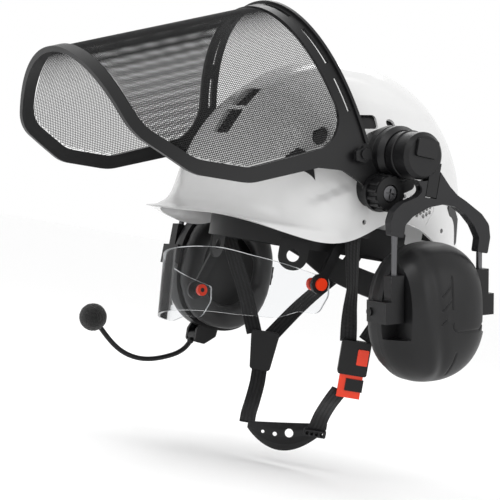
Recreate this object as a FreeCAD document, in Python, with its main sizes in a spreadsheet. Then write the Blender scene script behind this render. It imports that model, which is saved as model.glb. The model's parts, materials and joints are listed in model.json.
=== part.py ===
import FreeCAD, Part
import math
import os
from FreeCAD import Placement, Rotation, Vector

# Arborist helmet: ABS shell with raised mesh visor, clear eye shield, ear muffs, microphone and chin strap.
# Millimetres, +Z up. The wearer looks along -Y and the wearer's left hand is on +X.
# The origin is on the mid-plane, at the centre of the head, level with the lowest point of the shell's rim.

SIZES = {
    # shell
    "shell_half_width": 110.0,
    "shell_front_reach": 122.1,
    "shell_rear_reach": 119.3,
    "shell_centre_shift": -1.55,
    "shell_crown": 154.2,
    "shell_wall_top": 18.4,
    "shell_skin": 3.0,
    "front_plan_power": 2.55,
    "rear_plan_power": 2.12,
    "side_profile_power": 2.13,
    "front_profile_power": 2.01,
    "peak_reach": 33.0,
    "nape_reach": 8.0,
    "peak_level": 8.0,
    "peak_fade": 7.0,
    "spine_rise": 2.0,
    "side_panel_drop": 1.3,
    "ledge_rise": 3.0,
    "liner_gap": 1.5,
    "liner_thickness": 9.0,
    "liner_floor": 62.0,
    "accessory_hole_radius": 2.0,
    "vent_hole_radius": 4.4,
    "hex_flat": 3.3,
    "hex_pitch": 4.3,
    # visor
    "visor_pivot_y": -33.0,
    "visor_pivot_z": 46.5,
    "visor_lean": 22.4,
    "arch_half_width": 120.0,
    "arch_height": 154.0,
    "arch_skin": 3.0,
    "trim_proud": 0.7,
    "mesh_inset": 1.1,
    "mesh_skin": 0.8,
    "flange_proud": 2.2,
    "flange_width": 2.6,
    "visor_reach": 197.0,
    "foot_radius": 13.0,
    "foot_inner_face": 116.6,
    "stud_radius": 4.0,
    "stud_clearance": 0.08,
    "knob_radius": 14.5,
    "knob_length": 16.0,
    "knob_ribs": 14,
    "pivot_base_radius": 12.0,
    "screw_head_radius": 6.0,
    # ear muffs
    "barrel_y": -20.0,
    "barrel_z": 79.0,
    "housing_radius": 22.5,
    "housing_face": 128.0,
    "barrel_radius": 18.5,
    "barrel_face": 155.0,
    "axle_radius": 5.0,
    "button_travel_gap": 2.5,
    "yoke_inner_face": 146.0,
    "yoke_thickness": 8.0,
    "clamp_pin_z": 54.0,
    "pin_radius": 2.0,
    "pin_clearance": 0.05,
    "rod_radius": 2.4,
    "rod_offset": 42.0,
    "cup_y": 21.0,
    "cup_z": -39.5,
    "cup_lean": 11.5,
    "cup_half_width": 49.5,
    "cup_half_height": 55.5,
    "cup_power": 2.3,
    "cushion_face": 118.0,
    "frame_face": 130.5,
    "seam_face": 138.0,
    "right_muff_swing": -15.0,
    "right_muff_clamp": 4.0,
    "right_cup_raise": 9.0,
    # eye shield
    "lens_half_width": 82.0,
    "lens_reach": 88.0,
    "lens_skin": 2.0,
    "arm_face": 85.0,
    "arm_width": 8.0,
    "arm_thickness": 3.0,
    "arm_lean": 21.0,
    "arm_extra_right": 26.0,
    "pivot_y": -50.0,
    "pivot_z": -32.0,
    "paddle_radius": 8.0,
    "shield_button_radius": 5.0,
    # headband
    "band_half_width": 77.0,
    "band_front": 97.0,
    "band_rear": 96.0,
    "band_skin": 2.0,
    "ratchet_knob_radius": 17.0,
    "ratchet_knob_length": 14.0,
    # chin strap
    "web_width": 13.6,
    "web_skin": 1.8,
    "chin_cup_skin": 2.5,
    # microphone
    "boom_radius": 2.2,
    "foam_ball_radius": 12.0,
}

doc = FreeCAD.newDocument("arborist_helmet")
sheet = doc.addObject("Spreadsheet::Sheet", "Sizes")
for row, (alias, value) in enumerate(SIZES.items(), 1):
    sheet.set(f"A{row}", alias)
    sheet.set(f"B{row}", str(value))
    sheet.setAlias(f"B{row}", alias)
doc.recompute()

sub_parts = []

X_AXIS = Vector(1, 0, 0)
Y_AXIS = Vector(0, 1, 0)
Z_AXIS = Vector(0, 0, 1)
# A sketch laid by SIDE_VIEW is drawn in (Y, Z) and padded along +X; FRONT_VIEW in (X, Z), padded along -Y.
SIDE_VIEW = Rotation(Y_AXIS, Z_AXIS, X_AXIS, "XYZ")
FRONT_VIEW = Rotation(X_AXIS, Z_AXIS, -Y_AXIS, "XYZ")


def size(alias):
    """A driving dimension, as a number."""
    return float(sheet.get(alias))


def keep(obj, label):
    """Hand in obj as the sub-part called label."""
    obj.Label = label
    sub_parts.append(obj)
    return obj


def solid(kind, name, at=(0, 0, 0), axis=Z_AXIS, **formulas):
    """A Part primitive whose sizes are formulas on the sheet, with its own Z axis laid along axis."""
    obj = doc.addObject("Part::" + kind, name)
    for prop, formula in formulas.items():
        obj.setExpression(prop, formula)
    obj.Placement = Placement(Vector(*at), Rotation(Z_AXIS, axis))
    return obj


def free(name, shape, placement=Placement()):
    """A free-form piece, whose shape comes from formulas in this file."""
    obj = doc.addObject("Part::Feature", name)
    obj.Shape = shape
    obj.Placement = placement
    return obj


def fused(name, *pieces):
    obj = doc.addObject("Part::MultiFuse", name)
    obj.Shapes = list(pieces)
    return obj


def grouped(name, *pieces):
    obj = doc.addObject("Part::Compound", name)
    obj.Links = list(pieces)
    return obj


def cut(name, base, tool):
    obj = doc.addObject("Part::Cut", name)
    obj.Base = base
    obj.Tool = tool
    return obj


def common(name, *pieces):
    obj = doc.addObject("Part::MultiCommon", name)
    obj.Shapes = list(pieces)
    return obj


def mirrored(name, source, placement=Placement()):
    """The right-hand twin of a left-hand piece."""
    obj = doc.addObject("Part::Mirroring", name)
    obj.Source = source
    obj.Base = Vector(0, 0, 0)
    obj.Normal = X_AXIS
    obj.Placement = placement
    return obj


def both_sides(name, source):
    """A left-hand piece and its right-hand twin as one sub-part."""
    return grouped(name + "_pair", source, mirrored(name + "_twin", source))


def corner_arc(corners, i, radius):
    """Where the rounding of corner i starts, its middle and its end."""
    here = Vector(corners[i][0], corners[i][1], 0)
    before = Vector(corners[i - 1][0], corners[i - 1][1], 0) - here
    after_corner = corners[(i + 1) % len(corners)]
    after = Vector(after_corner[0], after_corner[1], 0) - here
    half_angle = before.getAngle(after) / 2
    before.normalize()
    after.normalize()
    inward = (before + after).normalize()
    setback = radius / math.tan(half_angle)
    middle = here + inward * (radius / math.sin(half_angle) - radius)
    return here + before * setback, middle, here + after * setback


def outline_curves(corners, radius):
    """Lines and arcs of a closed outline; a corner may carry its own radius as a third number."""
    turns = []
    for i, corner in enumerate(corners):
        turns.append(corner_arc(corners, i, corner[2] if len(corner) == 3 else radius))
    curves = []
    for i, (start, middle, end) in enumerate(turns):
        if start.distanceToPoint(end) > 1e-6:
            curves.append(Part.Arc(start, middle, end))
        following = turns[(i + 1) % len(turns)][0]
        if end.distanceToPoint(following) > 1e-6:
            curves.append(Part.LineSegment(end, following))
    return curves


def plate(name, corners, radius, depth, at, view, both_ways=False):
    """A PartDesign body: one sketched outline padded by the sheet formula depth."""
    body = doc.addObject("PartDesign::Body", name)
    sketch = body.newObject("Sketcher::SketchObject", name + "_outline")
    base_plane = next(f for f in body.Origin.OriginFeatures if f.Role == "XY_Plane")
    sketch.AttachmentSupport = [(base_plane, "")]
    sketch.MapMode = "FlatFace"
    for curve in outline_curves(corners, radius):
        sketch.addGeometry(curve, False)
    pad = body.newObject("PartDesign::Pad", name + "_pad")
    pad.Profile = sketch
    pad.setExpression("Length", depth)
    pad.Midplane = both_ways
    body.Tip = pad
    body.Placement = Placement(Vector(*at), view)
    return body


def box_outline(low_a, high_a, low_b, high_b):
    return [(low_a, low_b), (high_a, low_b), (high_a, high_b), (low_a, high_b)]


def closed_ring(points):
    """A smooth closed wire with evenly numbered knots, so that rings of one loft share them."""
    curve = Part.BSplineCurve()
    curve.interpolate(Points=points, PeriodicFlag=True, Parameters=[float(i) for i in range(len(points) + 1)])
    return Part.Wire([curve.toShape()])


def ribbon(path, widths, faces, width, skin):
    """A flat webbing solid: at each path point, width runs along widths and thickness along faces."""
    rings = []
    for point, across, face in zip(path, widths, faces):
        centre = Vector(*point)
        across = Vector(*across).normalize() * (width / 2)
        face = Vector(*face)
        face = (face - across * (face.dot(across) / across.dot(across))).normalize() * (skin / 2)
        corners = [centre + across + face, centre - across + face,
                   centre - across - face, centre + across - face]
        rings.append(Part.makePolygon(corners + corners[:1]))
    return Part.makeLoft(rings, True, False)


def tube_along(points, radius):
    """A round rod swept along a smooth curve through points."""
    curve = Part.BSplineCurve()
    curve.interpolate([Vector(*p) for p in points])
    spine = Part.Wire([curve.toShape()])
    start = Vector(*points[0])
    ring = Part.Wire([Part.makeCircle(radius, start, curve.tangent(curve.FirstParameter)[0])])
    return spine.makePipeShell([ring], True, True)


# ---------------------------------------------------------------------------------------------- shell

RING_POINTS = 96
RING_LEVELS = (-10, -5, 0, 4, 8, 11, 14, 18, 23, 28, 33, 38, 43, 48, 54, 60, 67, 74, 81, 86, 90, 95, 101, 107,
               112, 116, 120, 125, 130, 135, 139.5, 143.5, 147, 149.8, 151.8, 153.1, 153.8, 154.1)
# The rim seen from the side, from in front of the peak to behind the nape.
RIM_LINE = ((-170, 7.5), (-155, 8), (-130, 9.7), (-103, 5), (-88, 2.4), (-72, 0.6), (-60, 0.9), (-48, 3.5),
            (-36, 8.8), (-23, 17.3), (-11, 24.3), (2, 27), (14, 26.5), (26, 23.6), (44, 16.8), (63, 12.4),
            (85, 11), (110, 10.5), (150, 9.5))


def smooth_step(value):
    """0 below -1, 1 above 1, with an even S between."""
    value = min(max((value + 1) / 2, 0), 1)
    return value * value * (3 - 2 * value)


def skin_point(turn, level, inset):
    """A point of the shell's outer skin, or of a skin lying inset inside it."""
    c = math.cos(turn)
    s = math.sin(turn)
    in_front = s < 0
    reach = size("shell_front_reach" if in_front else "shell_rear_reach") - inset
    power = size("front_plan_power" if in_front else "rear_plan_power")
    radius = ((abs(c) / (size("shell_half_width") - inset)) ** power + (abs(s) / reach) ** power) ** (-1 / power)
    profile = size("side_profile_power")
    if in_front:
        profile += (size("front_profile_power") - profile) * s * s
    wall_top = size("shell_wall_top")
    full_rise = size("shell_crown") - wall_top
    rise = max(level - wall_top, 0) / full_rise
    scale = (1 - rise ** profile) ** (1 / profile)
    if level > wall_top:
        level = wall_top + rise * (full_rise - inset)
    fade = math.exp(-max(level + inset - size("peak_level"), 0) / size("peak_fade"))
    lip = size("peak_reach") * max(-s, 0) ** 4 + size("nape_reach") * max(s, 0) ** 3
    radius = radius * scale + lip * fade
    return Vector(radius * c, size("shell_centre_shift") + radius * s, level)


def raised(point):
    """A point of the plain outer skin moved to its relief: crown spine, side panels and front ledge."""
    x, y, z = abs(point.x), point.y, point.z
    spine = size("spine_rise") * smooth_step((55 + 0.39 * y - x) / 5) * smooth_step((z - 66) / 10)
    panel = smooth_step((z - 90) / 3) * smooth_step((116 - z) / 3) * smooth_step((66 - abs(y)) / 6)
    panel *= size("side_panel_drop") * smooth_step((x - 40) / 10)
    ledge_line = 36 + 0.55 * (y + 68)
    ledge = smooth_step((ledge_line - z) / 2.5) * smooth_step((y + 76) / 7) * smooth_step((-36 - y) / 7)
    ledge *= size("ledge_rise") * smooth_step((z - 20) / 8)
    outward = Vector(point.x, point.y, 0).normalize()
    return point + Z_AXIS * spine + outward * (ledge - panel)


def dome(inset, with_relief=False, points=64):
    """The solid under one skin of the shell, down past the rim."""
    rings = []
    for level in RING_LEVELS:
        ring = [skin_point(math.pi / 2 + 2 * math.pi * i / points, level, inset) for i in range(points)]
        if with_relief:
            ring = [raised(p) for p in ring]
        rings.append(closed_ring(ring))
    return Part.makeLoft(rings, True, False)


def below_rim(drop=0.0):
    """Everything under the rim line, moved down by drop."""
    curve = Part.BSplineCurve()
    curve.interpolate([Vector(-160, y, z - drop) for y, z in RIM_LINE])
    first = Vector(-160, RIM_LINE[0][0], RIM_LINE[0][1] - drop)
    last = Vector(-160, RIM_LINE[-1][0], RIM_LINE[-1][1] - drop)
    floor_first = Vector(-160, first.y, -40)
    floor_last = Vector(-160, last.y, -40)
    edges = [curve.toShape(), Part.makeLine(last, floor_last), Part.makeLine(floor_last, floor_first),
             Part.makeLine(floor_first, first)]
    return Part.Face(Part.Wire(edges)).extrude(Vector(320, 0, 0))


def side_prism(corners, radius, low_x, high_x):
    """A rounded outline in (Y, Z), extruded along X."""
    curves = outline_curves(corners, radius)
    wire = Part.Wire([c.toShape() for c in curves])
    face = Part.Face(wire)
    face.Placement = Placement(Vector(low_x, 0, 0), SIDE_VIEW)
    return face.extrude(Vector(high_x - low_x, 0, 0))


def front_prism(corners, radius, low_y, high_y):
    """A rounded outline in (X, Z), extruded along Y."""
    curves = outline_curves(corners, radius)
    face = Part.Face(Part.Wire([c.toShape() for c in curves]))
    face.Placement = Placement(Vector(0, low_y, 0), FRONT_VIEW)
    return face.extrude(Vector(0, high_y - low_y, 0))


def hexagon(a, b, flat):
    corner = flat / math.sqrt(3)
    return [(a + corner * math.cos(math.radians(60 * k)), b + corner * math.sin(math.radians(60 * k)))
            for k in range(6)]


def hex_centres(low_a, high_a, low_b, high_b, pitch):
    """Centres of a honeycomb that fills a rectangle."""
    centres = []
    column_step = pitch * math.sqrt(3) / 2
    columns = int((high_a - low_a) / column_step)
    for i in range(columns + 1):
        start = low_b + (pitch / 2 if i % 2 else 0)
        for j in range(int((high_b - start) / pitch) + 1):
            centres.append((low_a + i * column_step, start + j * pitch))
    return centres


def inside(point, corners, margin):
    """True where a point lies in a convex anticlockwise outline, at least margin from its edges."""
    for i, corner in enumerate(corners):
        following = corners[(i + 1) % len(corners)]
        along = (following[0] - corner[0], following[1] - corner[1])
        across = (point[0] - corner[0], point[1] - corner[1])
        if along[0] * across[1] - along[1] * across[0] < margin * math.hypot(*along):
            return False
    return True


SLOT = [(-50, 93), (-20.5, 98.5), (-21, 109.5), (-52, 104)]
LEAF = [(-78, 71), (-66, 80), (-58, 99), (-76, 86)]
SIDE_GRILLE = [(-11, 34.5), (11, 33), (29, 28), (38.5, 43), (33, 47.5), (9, 51.5), (-1, 52)]
SCREENS = [[(-12, 76.5), (12, 76.5), (13, 98), (-13, 98)], [(-13, 101.5), (13, 101.5), (11.5, 118), (-11.5, 118)]]


def shell_openings():
    """Every hole of the shell's left half, and the two front windows."""
    oval_axis = Vector(0.72, 0, 0.69)
    tools = [
        side_prism(SLOT, 3, 60, 112),
        side_prism(LEAF, 4, 62, 112),
        side_prism(SIDE_GRILLE, 2.5, 92, 116),
        Part.makeCylinder(size("vent_hole_radius"), 24, Vector(78, -7, 97), oval_axis),
    ]
    for y, z in ACCESSORY_HOLES:
        tools.append(Part.makeCylinder(size("accessory_hole_radius"), 40, Vector(80, y, z), X_AXIS))
    return tools


ACCESSORY_HOLES = ((-33.2, 22.1), (52.0, 27.0))

def flipped(shape):
    return shape.mirror(Vector(0, 0, 0), X_AXIS)


def build_shell():
    outer = dome(0, True, RING_POINTS)
    shell = outer.cut([dome(size("shell_skin")), below_rim()])
    tools = shell_openings()
    tools += [flipped(tool) for tool in tools]
    tools += [front_prism(window, 2, -140, -60) for window in SCREENS]
    return outer, shell.cut(tools)


def skin_layer(near, far, window):
    """The part of a layer between two insets that lies in a window prism."""
    return dome(near).common(window).cut(dome(far))


def build_side_grille():
    """White honeycomb that fills the vent window above the ear."""
    window = side_prism(SIDE_GRILLE, 2.5, 92, 116)
    panel = skin_layer(0.25, 2.6, window)
    centres = hex_centres(-12, 39, 27, 53, size("hex_pitch"))
    holes = [side_prism(hexagon(a, b, size("hex_flat")), 0, 90, 118) for a, b in centres
             if inside((a, b), SIDE_GRILLE, 2.2)]
    return panel.cut(holes)


def build_front_screens():
    """Two dark honeycomb screens that back the front windows."""
    screens = []
    for window in SCREENS:
        bottom = window[0][1]
        top = window[2][1]
        frame = box_outline(-16, 16, bottom - 1.2, top + 1.2)
        panel = skin_layer(3.15, 4.6, front_prism(frame, 1, -140, -50))
        centres = hex_centres(-13, 13, bottom + 1, top - 1, size("hex_pitch"))
        holes = [front_prism(hexagon(a, b, size("hex_flat")), 0, -140, -50) for a, b in centres
                 if abs(a) < 12 and bottom + 2 < b < top - 2]
        screens.append(panel.cut(holes))
    return Part.makeCompound(screens)


def build_slot_backing():
    """Dark plate behind the side slot and the leaf-shaped vent."""
    window = side_prism(box_outline(-84, -15, 66, 113), 4, 50, 112)
    return skin_layer(3.2, 4.8, window)


def build_liner():
    """Impact liner under the crown."""
    near = size("shell_skin") + size("liner_gap") + 0.4
    cap = dome(near).cut(dome(near + size("liner_thickness")))
    floor = Part.makeBox(400, 400, 200, Vector(-200, -200, size("liner_floor") - 200))
    return cap.cut(floor)


outer_dome, shell_shape = build_shell()
inner_dome = dome(size("shell_skin"))
keep(free("shell_form", shell_shape), "shell")
keep(both_sides("grille", free("grille_form", build_side_grille())), "side_vent_grilles")
keep(free("screens_form", build_front_screens()), "front_vent_screens")
keep(both_sides("backing", free("backing_form", build_slot_backing())), "side_vent_backings")
keep(free("liner_form", build_liner()), "impact_liner")


# ------------------------------------------------------------------------------------ visor and its pivots
# Visor pieces are drawn standing up about their pivot line (X), then leaned back: +Z is the arch's height and
# -Y the way the mesh reaches.

VISOR = Placement(Vector(0, size("visor_pivot_y"), size("visor_pivot_z")), Rotation(X_AXIS, size("visor_lean")))
ARCH_TOP = 165
ARCH_OUTLINE = [(0, ARCH_TOP), (-16, ARCH_TOP), (-16, 44, 30), (-50, 44), (-50, 31), (-28, 24, 8), (-13, 10, 6),
                (-10, 0), (10, 0), (0, 24, 20)]
TRIM_OUTLINE = [(-50, 44), (-108, 44, 35), (-150, 60, 30), (-182, 92, 30), (-186, ARCH_TOP), (-197, ARCH_TOP),
                (-192, 88, 35), (-156, 50, 35), (-112, 33, 40), (-50, 31)]
MESH_OUTLINE = [(-16, ARCH_TOP), (-16, 44, 30), (-108, 44, 35), (-150, 60, 30), (-182, 92, 30),
                (-186, ARCH_TOP)]
ACROSS = "2 * Sizes.arch_half_width + 20"


def elliptic_rod(name, proud):
    """An elliptic cylinder around the visor's axis, its skin standing proud of the arch's outer face."""
    curve = doc.addObject("Part::Ellipse", name + "_curve")
    curve.setExpression("MajorRadius", f"Sizes.arch_height + ({proud})")
    curve.setExpression("MinorRadius", f"Sizes.arch_half_width + ({proud})")
    curve.Placement = Placement(Vector(0, 20, 0), Rotation(Z_AXIS, X_AXIS, Y_AXIS, "XYZ"))
    rod = doc.addObject("Part::Extrusion", name)
    rod.Base = curve
    rod.Dir = -Y_AXIS
    rod.setExpression("LengthFwd", "Sizes.visor_reach + 30")
    rod.Solid = True
    return rod


def visor_mask(name, corners):
    """A side-view outline padded right across the visor."""
    return plate(name, corners, 0.01, ACROSS, (0, 0, 0), SIDE_VIEW, True)


def build_arch():
    tube = cut("arch_tube", elliptic_rod("arch_outside", "0"), elliptic_rod("arch_inside", "-Sizes.arch_skin"))
    boss = solid("Cylinder", "foot_boss", (-130, 0, 0), X_AXIS, Radius="Sizes.foot_radius", Height=ACROSS)
    band = common("arch_band", tube, fused("arch_mask", visor_mask("arch_side", ARCH_OUTLINE), boss))
    flange_tube = cut("flange_tube", elliptic_rod("flange_outside", "Sizes.flange_proud"),
                      elliptic_rod("flange_inside", "-Sizes.arch_skin"))
    flange_side = box_outline(-size("flange_width"), 0, 40, ARCH_TOP)
    flange = common("flange", flange_tube, visor_mask("flange_side", flange_side))
    bore = solid("Cylinder", "foot_bore", (-130, 0, 0), X_AXIS, Height=ACROSS,
                 Radius="Sizes.stud_radius + Sizes.stud_clearance")
    slots = []
    for k, (low, high) in enumerate(((66, 92), (104, 132))):
        slots.append(solid("Box", f"side_slot_{k}", (-130, -8.5, low), Length="260", Width="3",
                           Height=str(high - low)))
    for k, start in enumerate((-46, 12)):
        slots.append(solid("Box", f"top_slot_{k}", (start, -8.5, 135), Length="34", Width="3", Height="40"))
    pierced = band
    for k, tool in enumerate([bore] + slots):
        pierced = cut(f"arch_pierced_{k}", pierced, tool)
    arch = fused("arch_form", pierced, flange)
    arch.Placement = VISOR
    return arch


def build_trim():
    tube = cut("trim_tube", elliptic_rod("trim_outside", "Sizes.trim_proud"),
               elliptic_rod("trim_inside", "-Sizes.arch_skin - Sizes.trim_proud"))
    trim = common("trim_form", tube, visor_mask("trim_side", TRIM_OUTLINE))
    trim.Placement = VISOR
    return trim


def build_mesh_sheet():
    tube = cut("mesh_tube", elliptic_rod("mesh_outside", "-Sizes.mesh_inset"),
               elliptic_rod("mesh_inside", "-Sizes.mesh_inset - Sizes.mesh_skin"))
    sheet_form = common("mesh_form", tube, visor_mask("mesh_side", MESH_OUTLINE))
    sheet_form.Placement = VISOR
    return sheet_form


def build_catch():
    """Winged catch on the arch's corner plate."""
    wing = plate("catch_wing", [(-6, 46), (-10, 38), (-17, 37), (-18, 30), (-10, 26), (-3, 29), (-7, 36)], 1.5,
                 "3.5", (120.6, 0, 0), SIDE_VIEW)
    pin = solid("Cylinder", "catch_pin", (119.4, -9, 33), X_AXIS, Radius="4.2", Height="6.5")
    catch = fused("catch_whole", wing, pin)
    trimmed = cut("catch_form", catch, elliptic_rod("catch_seat", "0.02"))
    trimmed.Placement = VISOR
    return trimmed


def build_pivot():
    """Boss that stands on the shell and carries the visor's stud."""
    at = (90, size("visor_pivot_y"), size("visor_pivot_z"))
    base = solid("Cylinder", "pivot_base", at, X_AXIS, Radius="Sizes.pivot_base_radius",
                 Height="Sizes.foot_inner_face - 90")
    stud = solid("Cylinder", "pivot_stud", at, X_AXIS, Radius="Sizes.stud_radius",
                 Height="Sizes.foot_inner_face + Sizes.knob_length - 90")
    return cut("pivot_form", fused("pivot_whole", base, stud), outer_block)


def build_knob():
    """Ribbed hand knob that clamps the visor's foot."""
    y, z = size("visor_pivot_y"), size("visor_pivot_z")
    start = size("arch_half_width") + 0.6
    core = solid("Cylinder", "knob_core", (start, y, z), X_AXIS, Radius="Sizes.knob_radius - 1.4",
                 Height="Sizes.knob_length")
    collar = solid("Cylinder", "knob_collar", (start, y, z), X_AXIS, Radius="Sizes.knob_radius + 0.6",
                   Height="4")
    ribs = []
    for k in range(int(size("knob_ribs"))):
        angle = 2 * math.pi * k / size("knob_ribs")
        reach = size("knob_radius") - 1.6
        at = (start, y + reach * math.cos(angle), z + reach * math.sin(angle))
        ribs.append(solid("Cylinder", f"knob_rib_{k}", at, X_AXIS, Radius="1.7", Height="Sizes.knob_length - 1"))
    bore = solid("Cylinder", "knob_bore", (start - 1, y, z), X_AXIS, Height="Sizes.knob_length + 4",
                 Radius="Sizes.stud_radius + Sizes.stud_clearance")
    recess = solid("Cylinder", "knob_recess", (start + size("knob_length") - 4, y, z), X_AXIS,
                   Radius="Sizes.screw_head_radius + 1", Height="10")
    return cut("knob_form", fused("knob_whole", core, collar, *ribs), fused("knob_tools", bore, recess))


def build_screw():
    """Cross-headed screw in the end of the stud."""
    y, z = size("visor_pivot_y"), size("visor_pivot_z")
    face = size("foot_inner_face") + size("knob_length")
    head = solid("Cylinder", "screw_head", (face, y, z), X_AXIS, Radius="Sizes.screw_head_radius", Height="3.4")
    bars = [plate(f"screw_bar_{k}", box_outline(-4, 4, -0.7, 0.7) if k else box_outline(-0.7, 0.7, -4, 4), 0.1,
                  "3", (face + 1.6, y, z), SIDE_VIEW) for k in range(2)]
    return cut("screw_form", head, fused("screw_cross", *bars))


outer_block = free("outer_block", outer_dome)
keep(build_arch(), "visor_arch")
keep(build_trim(), "visor_edge_trim")
keep(build_mesh_sheet(), "visor_mesh")
keep(both_sides("catch", build_catch()), "visor_catches")
keep(both_sides("pivot", build_pivot()), "visor_pivots")
keep(both_sides("screw", build_screw()), "visor_screws")
visor_knob = keep(build_knob(), "visor_knob_left")
keep(mirrored("knob_twin", visor_knob), "visor_knob_right")

# ---------------------------------------------------------------------------------------------- ear muffs
# The left muff is drawn standing off the shell. The right one is its twin, swung forward about the barrel,
# closed a little about the clamp pin and raised on its rods.

CUP = Placement(Vector(0, size("cup_y"), size("cup_z")), Rotation(X_AXIS, size("cup_lean")))
BARREL_AT = Vector(0, size("barrel_y"), size("barrel_z"))
CLAMP_X = size("yoke_inner_face") + size("yoke_thickness") / 2
YOKE_OUTLINE = [(-34, 70), (-2, 70), (10, 60, 8), (19, 54.5, 10), (28, 51.5, 10), (46, 44, 8), (55, 37, 8),
                (58.5, 27, 6), (58.5, 14), (48, 14), (47.5, 25, 5), (40, 34, 6), (30, 41, 8), (19, 45.5, 10),
                (7, 45.5, 10), (-7, 41, 8), (-21, 31.5, 5), (-27, 24, 5), (-26.5, 14), (-38, 14), (-41, 24.5, 5),
                (-39.5, 33, 6), (-33, 40, 6), (-20, 47, 4), (-15, 53, 4), (-22, 59, 6)]
LUG = (-12, -2)
LUG_GAP = 0.6


def about(point, axis, degrees):
    """A turn about an axis through a point."""
    return Placement(Vector(0, 0, 0), Rotation(axis, degrees), point)


RIGHT_SWING = about(BARREL_AT, X_AXIS, size("right_muff_swing"))
RIGHT_CLAMP = about(Vector(-CLAMP_X, 0, size("clamp_pin_z")), Y_AXIS, -size("right_muff_clamp"))
RIGHT_YOKE = RIGHT_SWING.multiply(RIGHT_CLAMP)
ROD_UP = CUP.Rotation.multVec(Z_AXIS)
RIGHT_CUP = RIGHT_YOKE.multiply(Placement(ROD_UP * size("right_cup_raise"), Rotation()))


def on_barrel_axis(x):
    return (x, size("barrel_y"), size("barrel_z"))


def build_bracket():
    """Rounded housing that stands on the shell and carries the muff's swing axle."""
    root = solid("Cone", "bracket_root", on_barrel_axis(86), X_AXIS, Radius1="Sizes.housing_radius - 6",
                 Radius2="Sizes.housing_radius", Height="24")
    drum = solid("Cylinder", "bracket_drum", on_barrel_axis(110), X_AXIS, Radius="Sizes.housing_radius",
                 Height="13")
    face = solid("Cone", "bracket_face", on_barrel_axis(123), X_AXIS, Radius1="Sizes.housing_radius",
                 Radius2="Sizes.housing_radius - 3", Height="Sizes.housing_face - 123")
    heel = plate("bracket_heel", [(-34, 74), (-8, 74), (-1, 55), (-12, 49), (-27, 55)], 4, "30", (94, 0, 0),
                 SIDE_VIEW)
    groove = solid("Torus", "bracket_groove", on_barrel_axis(117), X_AXIS, Radius1="Sizes.housing_radius + 0.4",
                   Radius2="1.3")
    axle = solid("Cylinder", "bracket_axle", on_barrel_axis(116), X_AXIS, Radius="Sizes.axle_radius", Height="22")
    knob_room = solid("Cylinder", "bracket_knob_room", (80, size("visor_pivot_y"), size("visor_pivot_z")), X_AXIS,
                      Radius="Sizes.knob_radius + 1.4", Height="60")
    whole = fused("bracket_whole", root, drum, face, heel, axle)
    return cut("bracket_form", whole, fused("bracket_tools", outer_block, groove, knob_room))


def build_barrel():
    """Turning barrel with a lug for the yoke's clamp pin."""
    drum = solid("Cylinder", "barrel_drum", on_barrel_axis(size("housing_face") + 0.6), X_AXIS,
                 Radius="Sizes.barrel_radius", Height="Sizes.barrel_face - Sizes.housing_face - 3.6")
    face = solid("Cone", "barrel_end", on_barrel_axis(size("barrel_face") - 3), X_AXIS,
                 Radius1="Sizes.barrel_radius", Radius2="Sizes.barrel_radius - 3", Height="3")
    rib = solid("Torus", "barrel_rib", on_barrel_axis(137), X_AXIS, Radius1="Sizes.barrel_radius", Radius2="1")
    lug = plate("barrel_lug", box_outline(LUG[0], LUG[1], 49, 76), 0.5, "Sizes.yoke_thickness",
                (size("yoke_inner_face"), 0, 0), SIDE_VIEW)
    clamp_pin = solid("Cylinder", "clamp_pin", (CLAMP_X, -15, size("clamp_pin_z")), Y_AXIS,
                      Radius="Sizes.pin_radius", Height="22")
    bore = solid("Cylinder", "barrel_bore", on_barrel_axis(120), X_AXIS, Height="18.6",
                 Radius="Sizes.axle_radius + Sizes.pin_clearance")
    pocket = plate("button_pocket", box_outline(-30.2, -9.8, 77.8, 92.2), 2, "12", (148, 0, 0), SIDE_VIEW)
    whole = fused("barrel_whole", drum, face, rib, lug, clamp_pin)
    return cut("barrel_form", whole, fused("barrel_tools", bore, pocket))


def build_release():
    """Push button in the barrel's end."""
    return plate("release_form", box_outline(-29.9, -10.1, 78.1, 91.9), 1.8, "Sizes.button_travel_gap + 4.5",
                 (148 + size("button_travel_gap"), 0, 0), SIDE_VIEW)


def rod_at(offset, low, high, radius):
    """A round rod parallel to the cup's long axis, in the cup's own frame."""
    return Part.makeCylinder(radius, high - low, Vector(CLAMP_X, offset, low), Z_AXIS)


ROD_SPANS = ((-1, -4.0, 71.0), (1, -4.0, 54.0))
CLIP_SPAN = (-4, 33)


def build_rods():
    rods = [rod_at(side * size("rod_offset"), low, high, size("rod_radius")) for side, low, high in ROD_SPANS]
    return free("rods_form", Part.makeCompound(rods), CUP)


def build_yoke():
    """Forked arm from the barrel down to the two rods."""
    arm = plate("yoke_arm", YOKE_OUTLINE, 1.5, "Sizes.yoke_thickness", (size("yoke_inner_face"), 0, 0), SIDE_VIEW)
    seat = solid("Cylinder", "yoke_seat", on_barrel_axis(120), X_AXIS, Radius="Sizes.barrel_radius + 0.9",
                 Height="60")
    slot = plate("yoke_slot", box_outline(LUG[0] - LUG_GAP, LUG[1] + LUG_GAP, 48.2, 80), 0.3, "20", (140, 0, 0),
                 SIDE_VIEW)
    pin_hole = solid("Cylinder", "yoke_hole", (CLAMP_X, -30, size("clamp_pin_z")), Y_AXIS, Height="50",
                     Radius="Sizes.pin_radius + Sizes.pin_clearance")
    sockets = build_rods()
    return cut("yoke_form", arm, fused("yoke_tools", seat, slot, pin_hole, sockets))


def superellipse(x, scale):
    """One ring of the cup, in the cup's own frame."""
    power = size("cup_power")
    points = []
    for k in range(48):
        angle = 2 * math.pi * k / 48
        c, s = math.cos(angle), math.sin(angle)
        y = math.copysign(abs(c) ** (2 / power), c) * size("cup_half_width") * scale
        z = math.copysign(abs(s) ** (2 / power), s) * size("cup_half_height") * scale
        points.append(Vector(x, y, z))
    return closed_ring(points)


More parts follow.
